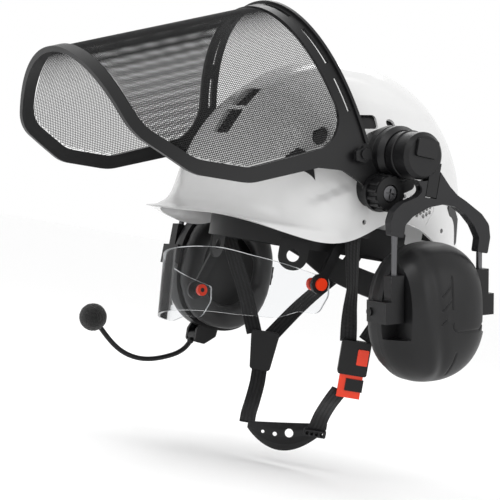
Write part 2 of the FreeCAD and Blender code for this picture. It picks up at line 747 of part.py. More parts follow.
def cup_loft(sections):
    return Part.makeLoft([superellipse(x, scale) for x, scale in sections], True, False)


def cup_slab(low, high, scale):
    return Part.makeLoft([superellipse(low, scale), superellipse(high, scale)], True, True)


DOME_SECTIONS = ((0, 1.0), (6, 0.985), (12, 0.945), (18, 0.88), (23, 0.785), (27, 0.66), (29.8, 0.5), (31.4, 0.3),
                 (32, 0.1))
CHANNEL_FLOOR = 142.8


def side_boxes(low_x, high_x, low_y, high_y, low_z, high_z):
    """A box at the cup's front edge and its twin at the rear edge."""
    boxes = []
    for side in (-1, 1):
        start = Vector(low_x, min(side * low_y, side * high_y), low_z)
        boxes.append(Part.makeBox(high_x - low_x, high_y - low_y, high_z - low_z, start))
    return boxes


GIMBAL_X = 134.5
GIMBAL_Z = 4.0


def gimbal_pins(radius, inner, outer):
    """The two pins the cup tilts on, along its short axis."""
    pins = []
    for side in (-1, 1):
        start = Vector(GIMBAL_X, min(side * inner, side * outer), GIMBAL_Z)
        pins.append(Part.makeCylinder(radius, outer - inner, start, Y_AXIS))
    return pins


def cup_outside():
    return cup_loft([(size("seam_face") + depth, scale) for depth, scale in DOME_SECTIONS])


def build_cup_shell():
    seam = size("seam_face")
    outer = cup_outside()
    inner = cup_loft([(seam + depth * 0.92 - 0.5, scale * 0.94) for depth, scale in DOME_SECTIONS])
    channels = side_boxes(CHANNEL_FLOOR, 175, 34.5, 56, -17, 60)
    return free("cup_shell_form", outer.cut([inner] + channels), CUP)


def build_cup_frame():
    """The ring between cushion and shell, with a hole on each side for the pins of the clips."""
    frame = cup_slab(size("frame_face"), size("seam_face"), 1.0)
    opening = cup_slab(size("frame_face") - 1, size("seam_face") + 1, 0.7)
    holes = gimbal_pins(2.05, 40, 56)
    return free("cup_frame_form", frame.cut([opening] + holes), CUP)


def build_cushion():
    """Soft ear ring."""
    outer = cup_loft([(size("cushion_face"), 0.86), (size("cushion_face") + 3, 0.95), (124.5, 0.975),
                      (size("frame_face"), 0.95)])
    hole = cup_slab(size("cushion_face") - 1, size("frame_face") + 1, 0.58)
    return free("cushion_form", outer.cut(hole), CUP)


def build_clips():
    """Two clips that ride on the rods and hold the cup by its gimbal pins."""
    blocks = side_boxes(145, 155, 36, 48, *CLIP_SPAN)
    bridges = side_boxes(148, 155, 47, 53.5, CLIP_SPAN[0], 13)
    tabs = side_boxes(130, 152, 50.4, 53.5, CLIP_SPAN[0], 13)
    bores = [rod_at(side * size("rod_offset"), -20, 60, size("rod_radius") + size("pin_clearance"))
             for side in (-1, 1)]
    pins = gimbal_pins(size("pin_radius"), 43, 54.6)
    heads = gimbal_pins(3.2, 53.5, 54.9)
    clips = []
    for i in range(2):
        clips.append(blocks[i].fuse([bridges[i], tabs[i], pins[i], heads[i]]).cut(bores[i]).removeSplitter())
    return free("clips_form", Part.makeCompound(clips), CUP)


MUFF_PIECES = (
    (build_barrel, "muff_barrel", RIGHT_SWING),
    (build_release, "muff_release_button", RIGHT_SWING),
    (build_yoke, "muff_yoke", RIGHT_YOKE),
    (build_rods, "muff_rods", RIGHT_YOKE),
    (build_clips, "cup_clips", RIGHT_CUP),
    (build_cup_shell, "cup_shell", RIGHT_CUP),
    (build_cup_frame, "cup_frame", RIGHT_CUP),
    (build_cushion, "ear_cushion", RIGHT_CUP),
)
keep(both_sides("bracket", build_bracket()), "muff_brackets")
for builder, label, twin_place in MUFF_PIECES:
    left = keep(builder(), label + "_left")
    doc.recompute()
    keep(mirrored(label + "_twin", left, twin_place), label + "_right")


# ------------------------------------------------------------------------------------------- microphone
# It hangs from the right cup. Only its foam windscreen and its goose neck are free of the cup.

SOCKET = Vector(-129, -26, -99)
BOOM_PATH = ((-129, -30.5, -104), (-129, -36, -112), (-129, -53, -121), (-129, -79, -125.5), (-129, -100, -120.5),
             (-128.5, -117, -109), (-128, -130.5, -96.8))
WINDSCREEN_AT = (-128, -133, -94.6)
VOLUME_AT = Vector(157.5, -31.5, -33.5)
VOLUME_AXIS = Vector(0.5, -0.75, -0.43)


def in_right_cup(name, shape):
    """A shape drawn in the left cup's own frame, carried over to the right cup."""
    return mirrored(name, free(name + "_source", shape, CUP), RIGHT_CUP)


def build_mic_socket():
    """Clevis under the cup, with the pin the boom turns on."""
    outline = [(-31, -104), (-21, -105), (-10, -97), (-8, -80), (-24, -80), (-31, -93)]
    cheeks = [plate(f"socket_cheek_{k}", outline, 3, "3", (x, 0, 0), SIDE_VIEW) for k, x in enumerate((-138, -123))]
    block = plate("socket_block", [(-19.5, -104), (-10, -97), (-8, -80), (-19.5, -80)], 1, "12.5", (-135.2, 0, 0),
                  SIDE_VIEW)
    pin = solid("Cylinder", "socket_pin", (-136, SOCKET.y, SOCKET.z), X_AXIS, Radius="Sizes.pin_radius",
                Height="14")
    cup_block = in_right_cup("cup_block", cup_slab(116, 138.2, 1.0).fuse(cup_outside()))
    return cut("socket_form", fused("socket_whole", pin, block, *cheeks), cup_block)


def build_mic_boom():
    neck = free("boom_neck", tube_along(BOOM_PATH, size("boom_radius")))
    hub = solid("Cylinder", "boom_hub", (-134.5, SOCKET.y, SOCKET.z), X_AXIS, Radius="5", Height="11")
    root = solid("Sphere", "boom_root", BOOM_PATH[0], Radius="3")
    capsule = solid("Cylinder", "mic_capsule", WINDSCREEN_AT, Y_AXIS, Radius="3.5", Height="8")
    bore = solid("Cylinder", "boom_bore", (-140, SOCKET.y, SOCKET.z), X_AXIS, Height="22",
                 Radius="Sizes.pin_radius + Sizes.pin_clearance")
    return cut("boom_form", fused("boom_whole", neck, hub, root, capsule), bore)


def build_windscreen(boom):
    ball = solid("Sphere", "windscreen_ball", WINDSCREEN_AT, Radius="Sizes.foam_ball_radius")
    return cut("windscreen_form", ball, boom)


def build_volume_knob():
    direction = Vector(VOLUME_AXIS).normalize()
    start = VOLUME_AT + direction * 2
    knob = Part.makeCylinder(5.6, 6.5, start, direction)
    side = direction.cross(X_AXIS).normalize()
    flutes = [Part.makeCylinder(0.9, 9, start + Rotation(direction, 36 * k).multVec(side) * 6.1, direction)
              for k in range(10)]
    return in_right_cup("volume_knob_form", knob.cut(flutes))


keep(build_mic_socket(), "mic_socket")
mic_boom = keep(build_mic_boom(), "mic_boom")
keep(build_windscreen(mic_boom), "mic_windscreen")
keep(build_volume_knob(), "volume_knob")

# ------------------------------------------------------------------------------------------- eye shield
# The lens tilts on the line between the two arms' buttons; the right arm is drawn out further, so that
# line slopes.

ARM_DOWN = Vector(0, -math.sin(math.radians(size("arm_lean"))), -math.cos(math.radians(size("arm_lean"))))
NEAR_PIVOT = Vector(size("lens_half_width"), size("pivot_y"), size("pivot_z"))
FAR_PIVOT = Vector(-size("lens_half_width"), size("pivot_y"), size("pivot_z"))
FAR_PIVOT += ARM_DOWN * size("arm_extra_right")
TILT_AXIS = (NEAR_PIVOT - FAR_PIVOT).normalize()
LENS = Placement((NEAR_PIVOT + FAR_PIVOT) / 2, Rotation(TILT_AXIS, Y_AXIS, TILT_AXIS.cross(Y_AXIS), "XZY"))
PIVOT_SPAN = (NEAR_PIVOT - FAR_PIVOT).Length / 2
LENS_OUTLINE = [(13, 5, 3), (14, -8, 8), (5, -24, 9), (-13, -24, 8), (-30, -31, 16), (-55, -31, 16), (-90, -27),
                (-90, 25), (-66, 22, 30), (-50, 17, 30), (-15, 10, 20)]
LENS_POWER = 2.15


def lens_wall(inset, low, high):
    """An upright wall following the lens's plan, in the lens's own frame."""
    points = []
    for k in range(64):
        angle = 2 * math.pi * k / 64
        c, s = math.cos(angle), math.sin(angle)
        x = math.copysign(abs(c) ** (2 / LENS_POWER), c) * (PIVOT_SPAN - inset)
        y = math.copysign(abs(s) ** (2 / LENS_POWER), s) * (size("lens_reach") - inset)
        points.append(Vector(x, y + 12, low))
    face = Part.Face(closed_ring(points))
    return face.extrude(Vector(0, 0, high - low))


def build_lens():
    wall = lens_wall(0, -50, 50).cut(lens_wall(size("lens_skin"), -51, 51))
    mask = Part.Face(Part.Wire([c.toShape() for c in outline_curves(LENS_OUTLINE, 4)]))
    mask.Placement = Placement(Vector(-100, 0, 0), SIDE_VIEW)
    prism = mask.extrude(Vector(200, 0, 0))
    holes = Part.makeCylinder(2.05, 200, Vector(-100, 0, 0), X_AXIS)
    return free("lens_form", wall.common(prism).cut(holes), LENS)


def shield_arm(name, pivot, side, length):
    """Flat arm from the guide down to its round paddle, with the button's stem."""
    bar_top = pivot - ARM_DOWN * length
    turn = Rotation(X_AXIS, -size("arm_lean"))
    bar = solid("Box", name + "_bar", Length="Sizes.arm_thickness", Width="Sizes.arm_width", Height=str(length))
    corner = Vector(0 if side > 0 else -size("arm_thickness"), -size("arm_width") / 2, 0)
    face_x = pivot.x + side * (size("arm_face") - size("lens_half_width"))
    foot = Vector(face_x, pivot.y, pivot.z)
    bar.Placement = Placement(foot, turn).multiply(Placement(corner, Rotation()))
    start = face_x if side > 0 else face_x - size("arm_thickness")
    paddle = solid("Cylinder", name + "_paddle", (start, pivot.y, pivot.z), X_AXIS, Radius="Sizes.paddle_radius",
                   Height="Sizes.arm_thickness")
    stem = solid("Cylinder", name + "_stem", pivot - TILT_AXIS * (side * 7), TILT_AXIS * side,
                 Radius="Sizes.pin_radius", Height="11")
    hook = solid("Cylinder", name + "_stop", (start, bar_top.y, bar_top.z), X_AXIS, Radius="Sizes.arm_width / 2",
                 Height="Sizes.arm_thickness")
    return fused(name + "_form", bar, paddle, stem, hook)


def shield_button(name, at, axis, height):
    return solid("Cylinder", name, at, axis, Radius="Sizes.shield_button_radius", Height=height)


def build_guide(name):
    """Sleeve the arm slides in, with a tab reaching the shell's inner wall."""
    turn = Rotation(X_AXIS, -size("arm_lean"))
    top = NEAR_PIVOT - ARM_DOWN * 60
    sleeve = solid("Box", name + "_sleeve", Length="9", Width="14", Height="22")
    sleeve.Placement = Placement(Vector(82, top.y, top.z), turn).multiply(Placement(Vector(0, -7, -7), Rotation()))
    tab = solid("Box", name + "_tab", Length="30", Width="10", Height="8")
    tab.Placement = Placement(Vector(90, top.y, top.z), turn).multiply(Placement(Vector(0, -5, 0), Rotation()))
    inner = free(name + "_wall", inner_dome)
    body = fused(name + "_body", sleeve, common(name + "_tab_trimmed", tab, inner))
    groove = solid("Box", name + "_groove", Length="Sizes.arm_thickness + 0.1", Width="Sizes.arm_width + 0.1",
                   Height="80")
    groove.Placement = Placement(Vector(84.95, top.y, top.z), turn).multiply(Placement(Vector(0, -4.05, -40),
                                                                             Rotation()))
    return cut(name + "_form", body, groove)


keep(build_lens(), "eye_shield_lens")
shield_arms = keep(grouped("arms_form", shield_arm("arm_left", NEAR_PIVOT, 1, 66),
                           shield_arm("arm_right", FAR_PIVOT, -1, 92)), "shield_arms")
outer_buttons = []
inner_buttons = []
for k, (pivot, side) in enumerate(((NEAR_PIVOT, 1), (FAR_PIVOT, -1))):
    outer_buttons.append(shield_button(f"button_out_{k}", pivot + X_AXIS * (side * 6), X_AXIS * side, "2"))
    inner_buttons.append(shield_button(f"button_in_{k}", pivot - TILT_AXIS * (side * 7), TILT_AXIS * side, "3"))
keep(grouped("buttons_form", *outer_buttons), "shield_buttons")
keep(cut("inner_buttons_form", grouped("inner_button_blanks", *inner_buttons), shield_arms),
     "shield_inner_buttons")
keep(both_sides("guide", build_guide("guide")), "shield_guides")

# ------------------------------------------------------------------------------- headband and suspension

NAPE_LINE = [(-20, -3), (10, -3, 30), (40, -13, 40), (62, -26, 40), (110, -47), (110, -25), (62, -3, 40),
             (40, 9, 40), (12, 19, 30), (-20, 19)]


STRAIGHT_END = 34
NAPE_CENTRE = 42


def oval_column(name, half_width, reach, centre_y, proud):
    """A solid elliptic column; proud grows it on every side."""
    curve = doc.addObject("Part::Ellipse", name + "_curve")
    curve.MajorRadius = max(half_width, reach) + proud
    curve.MinorRadius = min(half_width, reach) + proud
    curve.Placement = Placement(Vector(0, centre_y, -60), Rotation(Z_AXIS, 90 if reach > half_width else 0))
    column = doc.addObject("Part::Extrusion", name)
    column.Base = curve
    column.Dir = Z_AXIS
    column.LengthFwd = 120
    column.Solid = True
    return column


def front_column(name, proud):
    """The space inside the front band: an oval nose and straight flanks."""
    width = size("band_half_width")
    oval = oval_column(name + "_oval", width, size("band_front"), 0, proud)
    flanks = Part.makeBox(2 * (width + proud), STRAIGHT_END + 1, 120, Vector(-width - proud, 0, -60))
    return fused(name, oval, free(name + "_flanks", flanks))


def nape_column(name, proud):
    """The space inside the nape band: straight flanks and an oval back."""
    width = size("band_half_width")
    oval = oval_column(name + "_oval", width, size("band_rear") - NAPE_CENTRE, NAPE_CENTRE, proud)
    flanks = Part.makeBox(2 * (width + proud), NAPE_CENTRE + 40, 120, Vector(-width - proud, -40, -60))
    return fused(name, oval, free(name + "_flanks", flanks))


def build_front_band():
    ring = cut("front_band_ring", front_column("front_band_outside", 0),
               front_column("front_band_inside", -size("band_skin")))
    side = plate("front_band_side", [(-120, -6), (STRAIGHT_END, -6), (STRAIGHT_END, 20), (-120, 20)], 2, "200",
                 (0, 0, 0), SIDE_VIEW, True)
    tabs = []
    for k, side_sign in enumerate((1, -1)):
        turn = Rotation(Z_AXIS, side_sign * 57)
        foot = Vector(side_sign * 59.5, -61.6, 0) + turn.multVec(Y_AXIS)
        tab = plate(f"tab_{k}", [(-12, -25, 11.5), (12, -25, 11.5), (12, 0), (-12, 0)], 0.5, "2", (0, 0, 0),
                    FRONT_VIEW)
        tab.Placement = Placement(foot, turn.multiply(FRONT_VIEW))
        hole = solid("Cylinder", f"tab_hole_{k}", Radius="5", Height="20")
        hole_at = foot + turn.multVec(Vector(0, 8, -13))
        hole.Placement = Placement(hole_at, turn.multiply(Rotation(Z_AXIS, -Y_AXIS)))
        tabs.append(cut(f"tab_pierced_{k}", tab, hole))
    return fused("front_band_form", common("front_band_cut", ring, side), *tabs)


def build_nape_band():
    ring = cut("nape_ring", nape_column("nape_outside", size("band_skin") + 0.1), nape_column("nape_inside", 0.1))
    return common("nape_form", ring, plate("nape_side", NAPE_LINE, 2, "200", (0, 0, 0), SIDE_VIEW, True))


def build_brow_pad():
    ring = cut("pad_ring", front_column("pad_outside", -size("band_skin")),
               front_column("pad_inside", -size("band_skin") - 6))
    return common("pad_form", ring, plate("pad_side", [(-120, -4), (-30, -4), (-30, 19), (-120, 19)], 3, "200",
                                          (0, 0, 0), SIDE_VIEW, True))


def build_ratchet():
    """Case on the nape band, shaped to it, with the knob's stem."""
    rear = size("band_rear") + size("band_skin") + 0.1
    case = plate("ratchet_case", [(-34, -47), (34, -47), (34, -25), (-34, -25)], 8, "14", (0, rear + 7, 0),
                 FRONT_VIEW)
    trimmed = cut("ratchet_case_cut", case, nape_column("ratchet_seat", size("band_skin") + 0.1))
    stem = solid("Cylinder", "ratchet_stem", (0, rear, -36), Y_AXIS, Radius="4", Height="18")
    return fused("ratchet_form", trimmed, stem)


def build_ratchet_knob():
    rear = size("band_rear") + size("band_skin") + 7.6
    core = solid("Cylinder", "ratchet_core", (0, rear, -36), Y_AXIS, Radius="Sizes.ratchet_knob_radius - 1.5",
                 Height="Sizes.ratchet_knob_length - 3")
    ribs = []
    for k in range(16):
        angle = 2 * math.pi * k / 16
        at = (15.4 * math.cos(angle), rear, -36 + 15.4 * math.sin(angle))
        ribs.append(solid("Cylinder", f"ratchet_rib_{k}", at, Y_AXIS, Radius="1.8",
                          Height="Sizes.ratchet_knob_length - 4"))
    bore = solid("Cylinder", "ratchet_bore", (0, rear - 1, -36), Y_AXIS, Radius="4.05", Height="20")
    return cut("ratchet_knob_form", fused("ratchet_knob_whole", core, *ribs), bore)


def head_strap(name, turn_deg, inset):
    """Webbing from the rim up over the crown of the head and down to the other side."""
    path = []
    faces = []
    turn = math.radians(turn_deg)
    levels = (30, 50, 70, 88, 103, 116, 128, 138, 146, 151, 153.6)
    for side_turn in (turn, turn + math.pi):
        rising = [skin_point(side_turn, level, inset) for level in levels]
        path += rising if side_turn == turn else rising[::-1]
    across = Vector(-math.sin(turn), math.cos(turn), 0)
    for i, point in enumerate(path):
        before = path[max(i - 1, 0)]
        after = path[min(i + 1, len(path) - 1)]
        faces.append((after - before).cross(across))
    return free(name, ribbon(path, [across] * len(path), faces, 18, size("web_skin")))


def build_suspension_clips():
    """Four clips that hold the head straps' ends against the shell's inner wall."""
    clips = []
    for turn_deg in (35, 145, 215, 325):
        turn = math.radians(turn_deg)
        foot = skin_point(turn, 30, 17.9)
        wall = skin_point(turn, 30, 3)
        clip = Part.makeBox(30, 22, 11, Vector(0, -11, 0))
        clip.Placement = Placement(Vector(foot.x, foot.y, 17), Rotation(X_AXIS, Vector(wall.x, wall.y, 0)))
        clips.append(clip.common(inner_dome))
    return Part.makeCompound(clips)


keep(build_front_band(), "headband_front")
keep(build_nape_band(), "headband_rear")
keep(build_brow_pad(), "brow_pad")
keep(build_ratchet(), "ratchet_housing")
keep(build_ratchet_knob(), "ratchet_knob")
keep(grouped("head_straps_form", head_strap("strap_one", 35, 17), head_strap("strap_two", 145, 19.5)),
     "head_straps")
keep(free("clips_of_straps", build_suspension_clips()), "suspension_clips")

# ------------------------------------------------------------------------------------------ lamp clips
# Sprung hooks on the shell for a head lamp's band: a wide pair in front, a pointed pair behind.

FRONT_CLIP = [(0, 50), (3, 42), (33, 34), (31, 47), (29, 54), (24, 68), (13, 71), (4, 62)]
REAR_CLIP = [(-2, 48), (8, 52), (24, 40), (29, 20), (25, 17), (17, 33), (4, 41)]


def clip_on_shell(name, corners, radius, start, end, proud):
    """A plate that stands on the shell between two plan points, its back shaped to the skin."""
    along = Vector(end[0] - start[0], end[1] - start[1], 0).normalize()
    outward = Vector(along.y, -along.x, 0)
    turn = Rotation(along, Z_AXIS, outward, "XYZ")
    base = Vector(start[0], start[1], 0) - outward * 20
    block = plate(name + "_block", corners, radius, str(20 + proud), base, turn)
    return cut(name + "_form", block, outer_block)


keep(both_sides("clip_front", clip_on_shell("clip_front", FRONT_CLIP, 3, (74, -99), (95, -72), 1.5)),
     "lamp_clips_front")
keep(both_sides("clip_rear", clip_on_shell("clip_rear", REAR_CLIP, 2, (94, 58), (77, 88), 2.0)), "lamp_clips_rear")

# ------------------------------------------------------------------------------------------ chin strap

BUCKLE_DOWN = Vector(-0.16, -0.08, -0.98).normalize()
BUCKLE_ACROSS = Vector(0.53, 0.85, 0)
BUCKLE = Placement(Vector(78, 2, -73), Rotation(BUCKLE_ACROSS, -BUCKLE_DOWN, BUCKLE_ACROSS.cross(-BUCKLE_DOWN),
                                                "XYZ"))
CHEEK_SIDE = Vector(0.83, -0.56, 0)
FRONT_ANCHOR = (92, -41, 10, 30, 17, 11)
REAR_ANCHOR = (46, 84, 11, 40, 16, 10)


def flat(degrees):
    """A level direction, as an angle from +X."""
    return (math.cos(math.radians(degrees)), math.sin(math.radians(degrees)), 0)


def webbing(name, path, angles):
    """A strap whose width lies level, at the given angle at each path point."""
    faces = []
    for i, degrees in enumerate(angles):
        before = Vector(*path[max(i - 1, 0)])
        after = Vector(*path[min(i + 1, len(path) - 1)])
        faces.append((after - before).cross(Vector(*flat(degrees))))
    across = [flat(degrees) for degrees in angles]
    return free(name, ribbon(path, across, faces, size("web_width"), size("web_skin")))


def build_anchors():
    """Four tabs inside the rim that the chin strap hangs from."""
    tabs = []
    for x, y, z, length, width, height in (FRONT_ANCHOR, REAR_ANCHOR):
        tab = Part.makeBox(length, width, height, Vector(x, y, z)).common(inner_dome)
        tabs += [tab, flipped(tab)]
    return Part.makeCompound(tabs)


def buckle_box(low, high):
    """A box in the buckle's own frame, X across, Y up the strap and Z outward."""
    low = Vector(*low)
    return Part.makeBox(high[0] - low.x, high[1] - low.y, high[2] - low.z, low)


def build_buckle():
    body = buckle_box((-12, -28, -4.5), (12, 0, 4.5))
    body = body.makeFillet(2, [e for e in body.Edges if abs(e.tangentAt(0).z) > 0.9])
    pocket = buckle_box((-9.6, -29, -2.1), (9.6, -10, 2.1))
    window = buckle_box((1.9, -19.1, 1), (11.1, -5.9, 5))
    return free("buckle_form", body.cut([pocket, window]), BUCKLE)


def build_buckle_button():
    cap = buckle_box((2, -19, 3.6), (11, -6, 5.4))
    return free("buckle_button_form", cap.makeFillet(1, [e for e in cap.Edges if abs(e.tangentAt(0).z) > 0.9]),
                BUCKLE)


def build_tongue():
    plug = buckle_box((-9.5, -30, -2), (9.5, -13, 2))
    grip = buckle_box((-9.5, -47, -3.2), (9.5, -28.3, 3.2))
    window = buckle_box((-4, -41, 1), (9.6, -31, 4))
    return free("tongue_form", plug.fuse(grip).cut(window).removeSplitter(), BUCKLE)


def build_tongue_insert():
    """Dark cross bar in the tongue, which the lower strap wraps."""
    return free("insert_form", buckle_box((-4, -41, 1), (10.5, -31, 4.4)), BUCKLE)


def build_strap_slider():
    """Y-shaped slider where the two right-hand straps meet."""
    turn = Rotation(Vector(0.56, 0.83, 0), Z_AXIS, CHEEK_SIDE, "XYZ")
    return plate("slider_form", [(-13, 17), (13, 17), (9, -18), (-9, -18)], 3, "4.5",
                 Vector(-70, 10, -100) - CHEEK_SIDE * 2.2, turn)


CHIN_ENDS = (Vector(-31, -20, -160), Vector(31, 22, -148))
CHIN_SAG = 21.0


def chin_point(along, down, inset):
    """A point of the chin cup: along from end to end, down from its upper to its lower edge."""
    base = CHIN_ENDS[0] + (CHIN_ENDS[1] - CHIN_ENDS[0]) * along
    belly = math.sin(math.pi * along) ** 0.8
    bulge = (6 * belly * math.sin(math.pi * down) + 4 * belly) - inset
    return base + CHEEK_SIDE * bulge - Z_AXIS * (CHIN_SAG * belly * down + 3 * down)


def build_chin_cup():
    rings = []
    for i in range(13):
        along = 0.02 + 0.96 * i / 12
        outside = [chin_point(along, j / 4, 0) for j in range(5)]
        inside_points = [chin_point(along, j / 4, size("chin_cup_skin")) for j in range(4, -1, -1)]
        rings.append(Part.makePolygon(outside + inside_points + outside[:1]))
    cup = Part.makeLoft(rings, True, False)
    holes = []
    for along, down, radius in ((0.22, 0.45, 1.4), (0.37, 0.42, 1.8), (0.54, 0.35, 3.6)):
        middle = chin_point(along, down, 0)
        holes.append(Part.makeCylinder(radius, 30, middle - CHEEK_SIDE * 15, CHEEK_SIDE))
    return free("chin_cup_form", cup.cut(holes))


def build_ladder():
    """Small ladder buckle on the lower strap, at the chin cup's near end."""
    outward = Vector(0.71, -0.44, -0.55).normalize()
    turn = Rotation(Vector(0.53, 0.85, 0), outward.cross(Vector(0.53, 0.85, 0)), outward, "ZXY")
    at = Vector(33.5, 6.9, -155.2) + outward * 1.2
    bar = plate("ladder_bar", box_outline(-9.5, 9.5, -3.5, 3.5), 1.5, "2.5", at, turn)
    slots = []
    for k in range(4):
        slots.append(plate(f"ladder_slot_{k}", box_outline(-7.6 + 4 * k, -5 + 4 * k, -2, 2), 0.8, "4",
                           at - outward * 0.5, turn))
    return cut("ladder_form", bar, fused("ladder_slots", *slots))


keep(free("anchors_form", build_anchors()), "strap_anchors")
near_front = webbing("near_front", ((98, -33.5, 9.4), (93, -27, -8), (85, -17, -30), (80, -11.8, -50),
                                   (74.2, -4.1, -72.4)), (90, 100, 110, 90, 58))
near_rear = webbing("near_rear", ((81.8, 8.1, -72.4), (84, 16, -56), (85, 30, -32), (86, 55, -12),
                                 (78, 75, -2), (60, 91.5, 10.2)), (58, 72, 80, 100, 125, 141))
far_front = webbing("far_front", ((-98, -33.5, 9.4), (-95, -24, -15), (-88, -8, -50), (-77, 1, -82)),
                    (90, 80, 70, 58))
far_rear = webbing("far_rear", ((-66, 16, -82), (-74, 45, -56), (-78, 75.5, -29), (-70, 87, -12),
                                (-60, 91.5, 10.2)), (58, 52, 46, 40, 39))
keep(grouped("front_straps_form", near_front, far_front), "chin_straps_front")
keep(grouped("rear_straps_form", near_rear, far_rear), "chin_straps_rear")
keep(build_strap_slider(), "strap_slider")
keep(webbing("far_lower", ((-69.6, 9.7, -119.4), (-64, 6, -130), (-53, -3, -144), (-42, -12, -154),
                           (-33, -18, -161)), (56, 56, 56, 56, 56)), "chin_strap_lower_right")
keep(webbing("near_lower", ((62, -2, -124), (53, 1, -131), (44, 4, -140), (37, 6, -150), (31, 7.5, -159)),
             (58, 58, 58, 58, 58)), "chin_strap_lower_left")
keep(build_buckle(), "chin_buckle_body")
keep(build_buckle_button(), "chin_buckle_button")
keep(build_tongue(), "chin_buckle_tongue")
keep(build_tongue_insert(), "chin_tongue_insert")
keep(build_chin_cup(), "chin_cup")
keep(build_ladder(), "ladder_slider")

# ------------------------------------------------------------------------------------------------ checks

doc.recompute()
for obj in doc.Objects:
    if "Invalid" in obj.State or "Error" in obj.State:
        raise RuntimeError(f"{obj.Label}: {obj.State}")
for part in sub_parts:
    if part.Shape.isNull() or not part.Shape.isValid() or not part.Shape.Solids:
        raise RuntimeError(f"{part.Label}: no valid solid")

os.makedirs("parts", exist_ok=True)
for part in sub_parts:
    part.Shape.exportStep("parts/" + part.Label + ".step")
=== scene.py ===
import json
import math

import bmesh
import bpy
import numpy
from mathutils import Matrix, Vector, noise
from mathutils.bvhtree import BVHTree


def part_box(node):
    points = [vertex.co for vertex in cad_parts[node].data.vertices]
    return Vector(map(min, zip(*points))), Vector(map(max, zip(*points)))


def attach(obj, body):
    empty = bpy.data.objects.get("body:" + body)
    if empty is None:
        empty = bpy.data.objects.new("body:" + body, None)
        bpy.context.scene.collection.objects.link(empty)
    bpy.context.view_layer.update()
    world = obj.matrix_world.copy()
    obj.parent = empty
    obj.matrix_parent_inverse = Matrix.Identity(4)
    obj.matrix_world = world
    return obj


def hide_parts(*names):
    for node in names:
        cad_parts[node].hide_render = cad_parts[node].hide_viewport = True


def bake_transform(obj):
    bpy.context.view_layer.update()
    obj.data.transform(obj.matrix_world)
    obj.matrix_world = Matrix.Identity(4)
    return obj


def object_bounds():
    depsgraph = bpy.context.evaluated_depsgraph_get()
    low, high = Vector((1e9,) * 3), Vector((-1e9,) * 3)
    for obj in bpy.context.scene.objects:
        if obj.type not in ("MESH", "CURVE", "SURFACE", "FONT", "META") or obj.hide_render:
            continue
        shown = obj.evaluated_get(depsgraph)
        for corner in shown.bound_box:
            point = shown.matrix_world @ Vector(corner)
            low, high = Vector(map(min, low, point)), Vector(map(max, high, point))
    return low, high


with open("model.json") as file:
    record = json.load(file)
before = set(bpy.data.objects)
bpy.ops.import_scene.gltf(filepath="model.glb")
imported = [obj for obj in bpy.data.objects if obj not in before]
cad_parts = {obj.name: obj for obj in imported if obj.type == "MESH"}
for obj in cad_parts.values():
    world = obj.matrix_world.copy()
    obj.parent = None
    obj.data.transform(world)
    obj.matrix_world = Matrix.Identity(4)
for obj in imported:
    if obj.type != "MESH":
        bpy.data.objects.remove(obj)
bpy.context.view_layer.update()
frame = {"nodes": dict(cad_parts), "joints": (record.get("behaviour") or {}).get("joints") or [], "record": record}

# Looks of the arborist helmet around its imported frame. Metres; +Z up, the wearer looks along -Y.

NODES = frame["nodes"]
JOINTS = {joint["name"]: joint for joint in frame["joints"]}
MM = 0.001

# ------------------------------------------------------------------------------------------- materials

NOISE_MIDDLE = (0.3, 0.7)  # noise stays mostly between these, so a blend runs from one to the other
DRIFT_SCALE = 45.0  # slow drift of colour and sheen over moulded plastic, per metre
SOFT_DRIFT_SCALE = 60.0
GRAIN_DEPTH = 0.0004  # bump heights, in metres
CELL_DEPTH = 0.0008
WEAVE_DEPTH = 0.0005
DULL_SPECULAR = 0.3  # black plastic and webbing reflect less than Blender's default
COAT_ROUGHNESS = 0.12
WEAVE_RIBS = {"Scale": 95.0, "Distortion": 0.4}  # along the webbing
WEAVE_PICKS = {"Scale": 260.0, "Distortion": 0.8}  # across it
GLOW_NOISE_SCALE = 30.0  # painted glow on the lens: a faint emission in a noise pattern, standing in for haze that catches the light
PAINTED_GLOW = 0.012
LENS_ROUGHNESS = 0.05


def new_material(name):
    """An empty node material: (material, its node tree, its Principled node)."""
    made = bpy.data.materials.new(name)
    made.use_nodes = True
    tree = made.node_tree
    return made, tree, tree.nodes["Principled BSDF"]


def add(tree, kind, **values):
    """Adds a shader node; values set its properties, or its inputs when the name is an input's."""
    node = tree.nodes.new(kind)
    for name, value in values.items():
        if hasattr(node, name):
            setattr(node, name, value)
        else:
            node.inputs[name.replace("_", " ")].default_value = value
    return node


def object_noise(tree, scale, detail=3.0):
    """Noise laid in the row frame, so that every piece of one material shares one grain."""
    place = add(tree, "ShaderNodeTexCoord")
    grain = add(tree, "ShaderNodeTexNoise", Scale=scale, Detail=detail)
    tree.links.new(place.outputs["Object"], grain.inputs["Vector"])
    return grain


def object_cells(tree, scale):
    """Voronoi cells laid in the row frame."""
    place = add(tree, "ShaderNodeTexCoord")
    cells = add(tree, "ShaderNodeTexVoronoi", Scale=scale)
    tree.links.new(place.outputs["Object"], cells.inputs["Vector"])
    return cells


def bump_from(tree, shader, height, strength, distance):
    """Bump from a node's height output; distance is the full height in metres."""
    bump = add(tree, "ShaderNodeBump", Strength=strength, Distance=distance)
    tree.links.new(height, bump.inputs["Height"])
    tree.links.new(bump.outputs["Normal"], shader.inputs["Normal"])


def blend_colours(tree, factor, low, high):
    """A colour that runs from low to high as the factor crosses the middle of its range."""
    ramp = add(tree, "ShaderNodeMapRange")
    ramp.inputs["From Min"].default_value = NOISE_MIDDLE[0]
    ramp.inputs["From Max"].default_value = NOISE_MIDDLE[1]
    tree.links.new(factor, ramp.inputs["Value"])
    mix = add(tree, "ShaderNodeMix", data_type="RGBA")
    mix.inputs["A"].default_value = (*low, 1)
    mix.inputs["B"].default_value = (*high, 1)
    tree.links.new(ramp.outputs["Result"], mix.inputs["Factor"])
    return mix.outputs["Result"]


